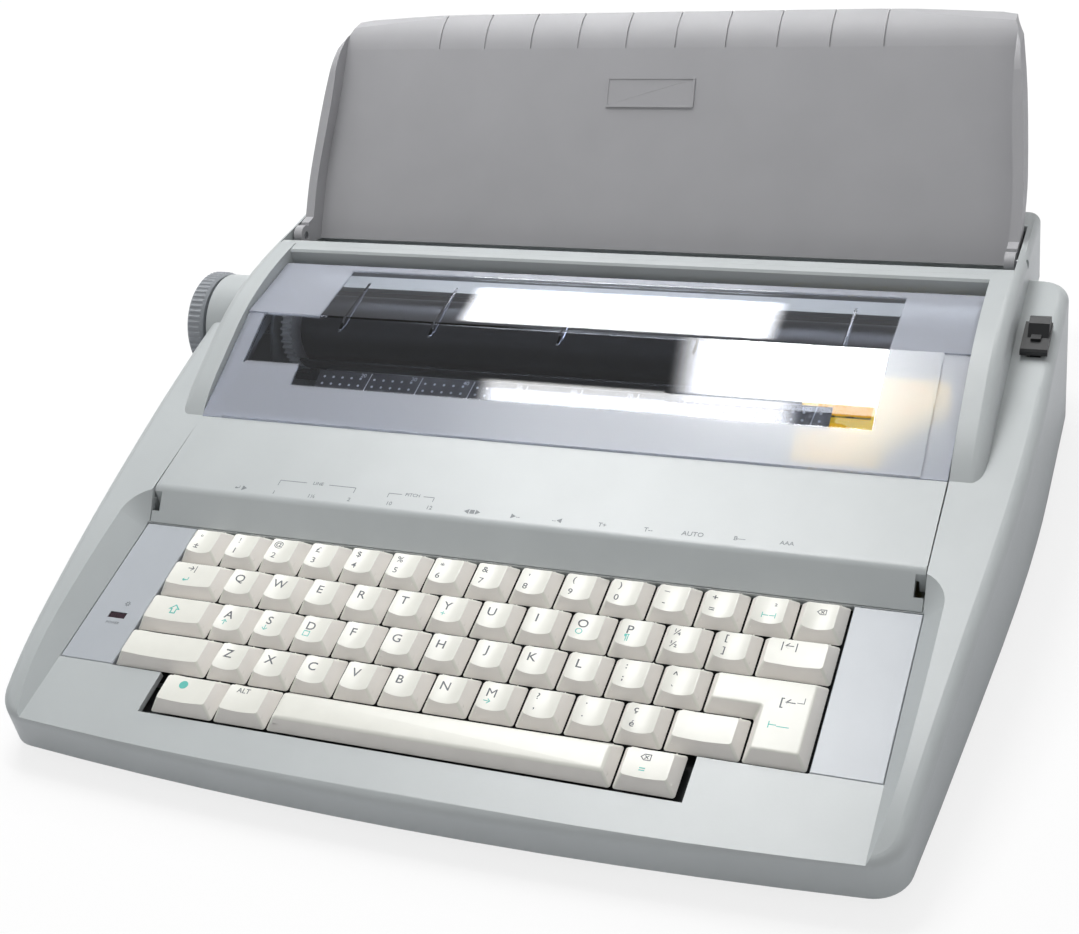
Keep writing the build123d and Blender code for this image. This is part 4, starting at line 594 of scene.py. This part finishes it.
# rows of plain keys: row from the front, left edge in pitches, legends
keyRows = {
    "number_row_keys": (4, 0.0, [pairKey(*pair) for pair in
                                 ("°±", "!1", "@2", "£3", "$4", "%5", "*6", "&7", "'8", "(9", ")0",
                                  "_-", "+=")]
                        + [[("²", 2.6, 1.6, 3.0, "legendInk"), ("⊢⊣", 2.6, 0, -2.4, "tealInk")],
                           [("⌫", 2.4, 0, 2.2, "legendInk")]]),
    "upper_letter_keys": (3, 1.5, [letterKey(*marks) for marks in
                                   ("Q", "W", "E", "R", "T", "Y+", "U", "I", "O○", "P¶")]
                          + [pairKey("¼", "½"), pairKey("[", "]")]),
    "home_letter_keys": (2, 1.75, [letterKey(*marks) for marks in
                                   ("A↑", "S↓", "D□", "F", "G", "H", "J", "K", "L")]
                         + [pairKey(":", ";"), pairKey("^", "`")]),
    "lower_letter_keys": (1, 2.25, [letterKey(*marks) for marks in ("Z", "X", "C", "V", "B", "N", "M→")]
                          + [pairKey("?", ","), pairKey(".", "."), pairKey("ç", "é")]),
}
# wide keys: row, left edge, width, legends
wideKeys = {
    "tab_key": (3, 0.0, 1.5, [("→|", 2.7, -2.2, 3.0, "legendInk"), ("↵", 2.4, -2.6, -2.6, "tealInk")]),
    "relocate_key": (3, 13.5, 1.5, [("|←|", 3.0, -3.0, 2.6, "legendInk")]),
    "shift_lock_key": (2, 0.0, 1.75, [("⇧", 4.2, -1.5, 0.2, "tealInk")]),
    "left_shift_key": (1, 0.0, 2.25, []),
    "right_shift_key": (1, 12.25, 1.5, []),
    "code_key": (0, 1.45, 1.5, [("●", 3.4, -2.5, 2.2, "tealInk")]),
    "alternate_key": (0, 2.95, 1.25, [("ALT", 2.2, -2.0, 3.8, "legendInk")]),
    "space_bar": (0, 4.2, 7.35, []),
    "correction_key": (0, 11.55, 1.25, [("⌫", 2.6, -1.5, 2.8, "legendInk"),
                                        ("=", 3.0, -1.5, -2.4, "tealInk")]),
}
plainCap = modelCap("plainCap", 1)
print("cap modelled")
for node, (row, start, legendList) in keyRows.items():
    v = (row - 0.5) * layout["keyPitch"]
    caps, printed = [], []
    for i, legends in enumerate(legendList):
        u = keyField + (start + i + 0.5) * layout["keyPitch"]
        caps.append(copyAt(plainCap, deckMatrix(u, v), node + "Cap"))
        printed += printLegends(legends, 1, u, v)
    rowCaps = joinAll(node + "Caps", caps)
    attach(rowCaps, node + "_set")
    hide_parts(node)
    rowPrint = joinAll(node + "Legends", printed)
    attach(rowPrint, node + "_set")
bpy.data.objects.remove(plainCap)
capModels = {}
for node, (row, start, width, legends) in wideKeys.items():
    v = (row - 0.5) * layout["keyPitch"]
    u = keyField + (start + width / 2) * layout["keyPitch"]
    if width not in capModels:
        capModels[width] = modelCap("wideCap", width)
    wideCap = copyAt(capModels[width], deckMatrix(u, v), node + "Cap")
    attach(wideCap, node + "_set")
    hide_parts(node)
    if legends:
        printed = joinAll(node + "Legends", printLegends(legends, width, u, v))
        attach(printed, node + "_set")
for model in capModels.values():
    bpy.data.objects.remove(model)

returnKey = modelReturnKey()
returnKey.data.transform(deckMatrix(keyField + 12.75 * layout["keyPitch"], 2 * layout["keyPitch"]))
returnKey.name = "returnKeyCap"
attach(returnKey, "return_key_set")
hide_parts("return_key")
returnMarks = joinAll("returnKeyLegends", printLegends(
    [("[←┘", 3.4, 1.6, 6.0, "legendInk"), ("⊢—", 3.0, -1.0, -4.5, "tealInk")], 4,
    keyField + (13.75 + 0.625) * layout["keyPitch"], 1.0 * layout["keyPitch"]))
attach(returnMarks, "return_key_set")
print("keys placed")


# Marks printed on the sloping front of the cover, and beside the lamp window

coverFront = {"frontY": 126.6, "frontZ": 47.6, "rearY": 171.4, "rearZ": 54.4, "lift": 0.02,
              "barThick": 0.06}
# each text: capital height, place across and along in machine millimetres
coverTexts = [("↵ ►", 2.0, -126.7, 130.8), ("1", 2.0, -110.0, 130.2), ("1½", 2.0, -91.4, 130.2),
              ("2", 2.0, -73.6, 130.6), ("LINE", 1.7, -91.5, 137.6), ("10", 2.0, -54.5, 130.8),
              ("12", 2.0, -35.8, 130.8), ("PITCH", 1.7, -46.0, 136.6), ("◄■►", 1.9, -16.6, 131.0),
              ("►--", 1.9, 2.7, 131.0), ("--◄", 1.9, 20.7, 131.2), ("T+", 2.1, 40.0, 131.4),
              ("T--", 2.1, 59.3, 131.4), ("AUTO", 2.2, 77.4, 131.6), ("B—", 2.1, 96.3, 131.8),
              ("AAA", 1.9, 114.8, 132.0)]
# each bar of the two brackets: place across and along, width and depth
coverBars = [(-103.5, 137.4, 13, 0.3), (-79.7, 137.4, 13, 0.3), (-110.0, 135.9, 0.3, 3.0),
             (-73.2, 135.9, 0.3, 3.0), (-54.0, 136.4, 6, 0.3), (-38.4, 136.4, 5, 0.3),
             (-57.0, 135.2, 0.3, 2.4), (-35.9, 135.2, 0.3, 2.4)]


def coverMatrix(x, y):
    slope = math.atan2(coverFront["rearZ"] - coverFront["frontZ"],
                       coverFront["rearY"] - coverFront["frontY"])
    rise = (y - coverFront["frontY"]) * math.tan(slope)
    spot = place(x, y, coverFront["frontZ"] + rise + coverFront["lift"])
    return Matrix.Translation(spot) @ Matrix.Rotation(slope, 4, "X")


marks = []
for text, height, x, y in coverTexts:
    letters = letterMesh(text, height, "markInk")
    letters.data.transform(coverMatrix(x, y))
    marks.append(letters)
for x, y, wide, deep in coverBars:
    bar = startBox("markBar", (wide, deep, coverFront["barThick"]))
    setMaterials(bar, "markInk")
    bar.data.transform(coverMatrix(x, y))
    marks.append(bar)
coverMarks = joinAll("coverMarks", marks)
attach(coverMarks, "cover")

lampMarks = [letterMesh("☼", 2.2, "markInk"), letterMesh("POWER", 1.3, "markInk")]
for letters, (u, v) in zip(lampMarks, ((-153.6, 30.8), (-155.2, 20.2))):
    letters.data.transform(deckMatrix(u, v))
    letters.data.transform(Matrix.Translation((0, 0, 0.00003)))
lampPrint = joinAll("lampPrint", lampMarks)
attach(lampPrint, "case")
print("marks printed")


# Typing scale: two rows of dots, a long stroke every ten characters

scale = {"frontY": 190.5, "frontZ": 60.203, "slope": 20.49, "half": 118.0, "depth": 11.2,
         "pitch": 25.4, "offset": 9.4, "dots": (2.8, 7.4, 12.0, 16.6, 21.2), "dotRadius": 0.62,
         "rows": (3.6, 7.4), "stroke": 0.45, "strokeEnds": 1.2, "lean": -8, "print": 0.03,
         "strokeMargin": 5, "dotMargin": 2, "numberBack": 3.2, "numberDeep": 9.3, "numberHeight": 2.0}


def scaleMatrix(x, deep):
    slope = math.radians(scale["slope"])
    spot = place(x, scale["frontY"] + deep * math.cos(slope), scale["frontZ"] + deep * math.sin(slope))
    return Matrix.Translation(spot) @ Matrix.Rotation(slope, 4, "X")


dot = startRod("scaleDot", scale["dotRadius"], scale["print"], 10)
setMaterials(dot, "scaleInk")
stroke = startBox("scaleStroke", (scale["stroke"], scale["depth"] - scale["strokeEnds"], scale["print"]),
                  (0, 0, scale["print"] / 2))
setMaterials(stroke, "scaleInk")
scalePieces = []
lean = Matrix.Rotation(math.radians(scale["lean"]), 4, "Z")
for i in range(-5, 5):
    x = i * scale["pitch"] + scale["offset"]
    if abs(x) < scale["half"] - scale["strokeMargin"]:
        scalePieces.append(copyAt(stroke, scaleMatrix(x, scale["depth"] / 2) @ lean, "scaleStroke"))
        number = letterMesh(str(60 + 10 * i), scale["numberHeight"], "scaleInk", 0.01)
        number.data.transform(scaleMatrix(x - scale["numberBack"], scale["numberDeep"]))
        scalePieces.append(number)
    for step in scale["dots"]:
        for deep in scale["rows"]:
            if abs(x + step) < scale["half"] - scale["dotMargin"]:
                scalePieces.append(copyAt(dot, scaleMatrix(x + step, deep), "scaleDot"))
scaleMarks = joinAll("scaleMarks", scalePieces)
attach(scaleMarks, "cover")
bpy.data.objects.remove(dot)
bpy.data.objects.remove(stroke)
print("scale marked")


# Bare plate near the top of the paper support

plate = {"wide": 44.0, "tall": 14.4, "thick": 1.4, "corner": 0.8, "rim": 0.9, "rise": 0.75, "floor": 0.42,
         "draft": (0.994, 0.98, 1), "x": -1.0, "footY": 309.0, "footZ": 71.0, "up": 75.5, "tilt": 52.0}
platePiece = startBox("supportPlate", (plate["wide"], plate["tall"], plate["thick"]),
                      (0, 0, plate["rise"] - plate["thick"] / 2))
edit(platePiece)
choose(platePiece, "EDGE", lambda edge: climbs(edge, plate["thick"] / 2))
bpy.ops.mesh.bevel(offset=plate["corner"] / 1000, segments=3, affect="EDGES")
choose(platePiece, "FACE", lambda face: face.normal.z > facing["level"])
bpy.ops.mesh.inset(thickness=plate["rim"] / 1000)
sink = (plate["floor"] - plate["rise"]) / 1000
bpy.ops.mesh.extrude_region_move(TRANSFORM_OT_translate={"value": (0, 0, sink)})
bpy.ops.transform.resize(value=plate["draft"], center_override=(0, 0, 0))
leaveEdit()
smooth(platePiece, 30)
setMaterials(platePiece, "supportGrey")
tilt = math.radians(plate["tilt"])
plateSpot = place(plate["x"], plate["footY"] + plate["up"] * math.cos(tilt),
                  plate["footZ"] + plate["up"] * math.sin(tilt))
platePiece.data.transform(Matrix.Translation(plateSpot) @ Matrix.Rotation(tilt, 4, "X"))
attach(platePiece, "support")
print("support plate set")


# Ledge of the case behind its cross bar, which narrows the paper trough

ledge = {"half": 177.4, "front": 280.0, "rear": 285.6, "low": 77.0, "high": 83.02, "edge": 1.2}
ledgePiece = startBox("barLedge", (2 * ledge["half"], ledge["rear"] - ledge["front"],
                                   ledge["high"] - ledge["low"]))
edit(ledgePiece)
# its upper rear edge; the box still lies about the origin
choose(ledgePiece, "EDGE", lambda edge: all(vertex.co.y > 0 and vertex.co.z > 0
                                            for vertex in edge.verts))
bpy.ops.mesh.bevel(offset=ledge["edge"] / 1000, segments=4, affect="EDGES")
leaveEdit()
smooth(ledgePiece, 40)
setMaterials(ledgePiece, "mouldedCase")
ledgePiece.data.transform(Matrix.Translation(place(0, (ledge["front"] + ledge["rear"]) / 2,
                                                   (ledge["low"] + ledge["high"]) / 2)))
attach(ledgePiece, "case")
print("ledge set")


# Floor, world and lights

# The window lamps are seen in the lid as its bright reflections; the key lamps point at the machine.
stage = {"floorSize": 8.0, "floorSeen": "#747474", "floorGlow": 0.79, "floorBounce": "#DCDCDF",
         "skyTop": 0.33, "skyLow": 0.8, "skyReach": 0.8, "frontShare": 0.95, "frontReach": 0.2,
         "leftShare": 1.02, "rightShare": 1.45, "aim": (0, 0, 0.06),
         "windowFront": {"spot": (-90, 446, 900), "size": (0.28, 0.074), "radiance": 44.0,
                         "feather": (0.26, 0.05)},
         "windowStrip": {"spot": (-262, 391, 900), "size": (0.332, 0.042), "radiance": 15.0,
                         "feather": (0.08, 0.1)},
         "windowHaze": {"spot": (-290, 330, 900), "size": (0.5, 0.1), "radiance": 9.0,
                        "feather": (0.4, 0.2)},
         "windowRear": {"spot": (-460, 1288, 900), "size": (0.44, 0.075), "radiance": 16.0,
                        "feather": (0.08, 0.05)},
         "keyRear": {"spot": (300, 1750, 1660), "size": (0.7, 0.7), "radiance": 6.5,
                     "feather": (0.2, 0.2)},
         "keyLeft": {"spot": (-783, 1310, 1840), "size": (0.6, 0.6), "radiance": 20.0,
                     "feather": (0.2, 0.2)},
         "keyMiddle": {"spot": (-220, 1114, 1723), "size": (0.45, 0.45), "radiance": 12.0,
                       "feather": (0.2, 0.2)}}

bpy.ops.object.select_all(action="DESELECT")
bpy.ops.mesh.primitive_grid_add(x_subdivisions=8, y_subdivisions=8, size=stage["floorSize"],
                                location=(0, 0, 0))
floor = bpy.context.active_object
floor.name = "floor"
paper = bpy.data.materials.new("paperFloor")
paper.use_nodes = True
tree = paper.node_tree
tree.nodes.clear()
out = addNode(tree, "OutputMaterial")
shader = addNode(tree, "BsdfPrincipled", {"Roughness": 0.9})
seen = addNode(tree, "LightPath").outputs["Is Camera Ray"]
tone = addNode(tree, "Mix", {"Factor": seen}, {"data_type": "RGBA"})
# sockets 6 and 7 are the two colours of a Mix node, output 2 its colour
tone.inputs[6].default_value = srgb(stage["floorBounce"])
tone.inputs[7].default_value = srgb(stage["floorSeen"])
tree.links.new(tone.outputs[2], shader.inputs["Base Color"])
shader.inputs["Emission Color"].default_value = (1.0, 1.0, 1.0, 1.0)
glow = addNode(tree, "Math", {0: seen, 1: stage["floorGlow"]}, {"operation": "MULTIPLY"})
tree.links.new(glow.outputs[0], shader.inputs["Emission Strength"])
tree.links.new(shader.outputs[0], out.inputs[0])
floor.data.materials.append(paper)

world = bpy.data.worlds.new("studio")
bpy.context.scene.world = world
world.use_nodes = True
tree = world.node_tree
tree.nodes.clear()
out = addNode(tree, "OutputWorld")
direction = addNode(tree, "TexCoord").outputs["Generated"]
parts = addNode(tree, "SeparateXYZ", {"Vector": direction})
glow = addNode(tree, "MapRange", {"Value": parts.outputs["Z"], "From Min": 0.0,
                                  "From Max": stage["skyReach"],
                                  "To Min": stage["skyLow"], "To Max": stage["skyTop"]})
share = addNode(tree, "MapRange", {"Value": parts.outputs["Y"], "From Min": -1.0,
                                   "From Max": stage["frontReach"],
                                   "To Min": stage["frontShare"], "To Max": 1.0})
sides = addNode(tree, "MapRange", {"Value": parts.outputs["X"], "From Min": -1.0, "From Max": 1.0,
                                   "To Min": stage["leftShare"], "To Max": stage["rightShare"]})
share = addNode(tree, "Math", {0: share.outputs["Result"], 1: sides.outputs["Result"]},
                {"operation": "MULTIPLY"})
strength = addNode(tree, "Math", {0: glow.outputs["Result"], 1: share.outputs[0]},
                   {"operation": "MULTIPLY"})
background = addNode(tree, "Background", {"Strength": strength.outputs[0]})
tree.links.new(background.outputs[0], out.inputs[0])


def addSoftbox(name, values):
    # a rectangular lamp that fades towards its edges
    data = bpy.data.lights.new(name, "AREA")
    data.shape = "RECTANGLE"
    data.size, data.size_y = values["size"]
    data.energy = values["radiance"] * math.pi * data.size * data.size_y
    data.use_nodes = True
    tree = data.node_tree
    tree.nodes.clear()
    out = addNode(tree, "OutputLight")
    spread = addNode(tree, "SeparateXYZ", {"Vector": addNode(tree, "NewGeometry").outputs["Parametric"]})
    fades = []
    for axis, feather in zip(("X", "Y"), values["feather"]):
        centred = addNode(tree, "Math", {0: spread.outputs[axis], 1: 0.5}, {"operation": "SUBTRACT"})
        away = addNode(tree, "Math", {0: centred.outputs[0]}, {"operation": "ABSOLUTE"})
        fades.append(addNode(tree, "MapRange", {"Value": away.outputs[0], "From Min": 0.5,
                                                "From Max": 0.5 - feather},
                             {"interpolation_type": "SMOOTHSTEP"}).outputs["Result"])
    fade = addNode(tree, "Math", {0: fades[0], 1: fades[1]}, {"operation": "MULTIPLY"})
    shine = addNode(tree, "Emission", {"Strength": fade.outputs[0]})
    tree.links.new(shine.outputs[0], out.inputs[0])
    lamp = bpy.data.objects.new(name, data)
    bpy.context.scene.collection.objects.link(lamp)
    lamp.location = place(*values["spot"])
    if name.startswith("key"):
        aim = Vector(stage["aim"]) - lamp.location
        lamp.rotation_euler = aim.to_track_quat("-Z", "Y").to_euler()
    return lamp


for name in ("windowFront", "windowStrip", "windowHaze", "windowRear", "keyRear", "keyLeft", "keyMiddle"):
    addSoftbox(name, stage[name])
print("stage lit")
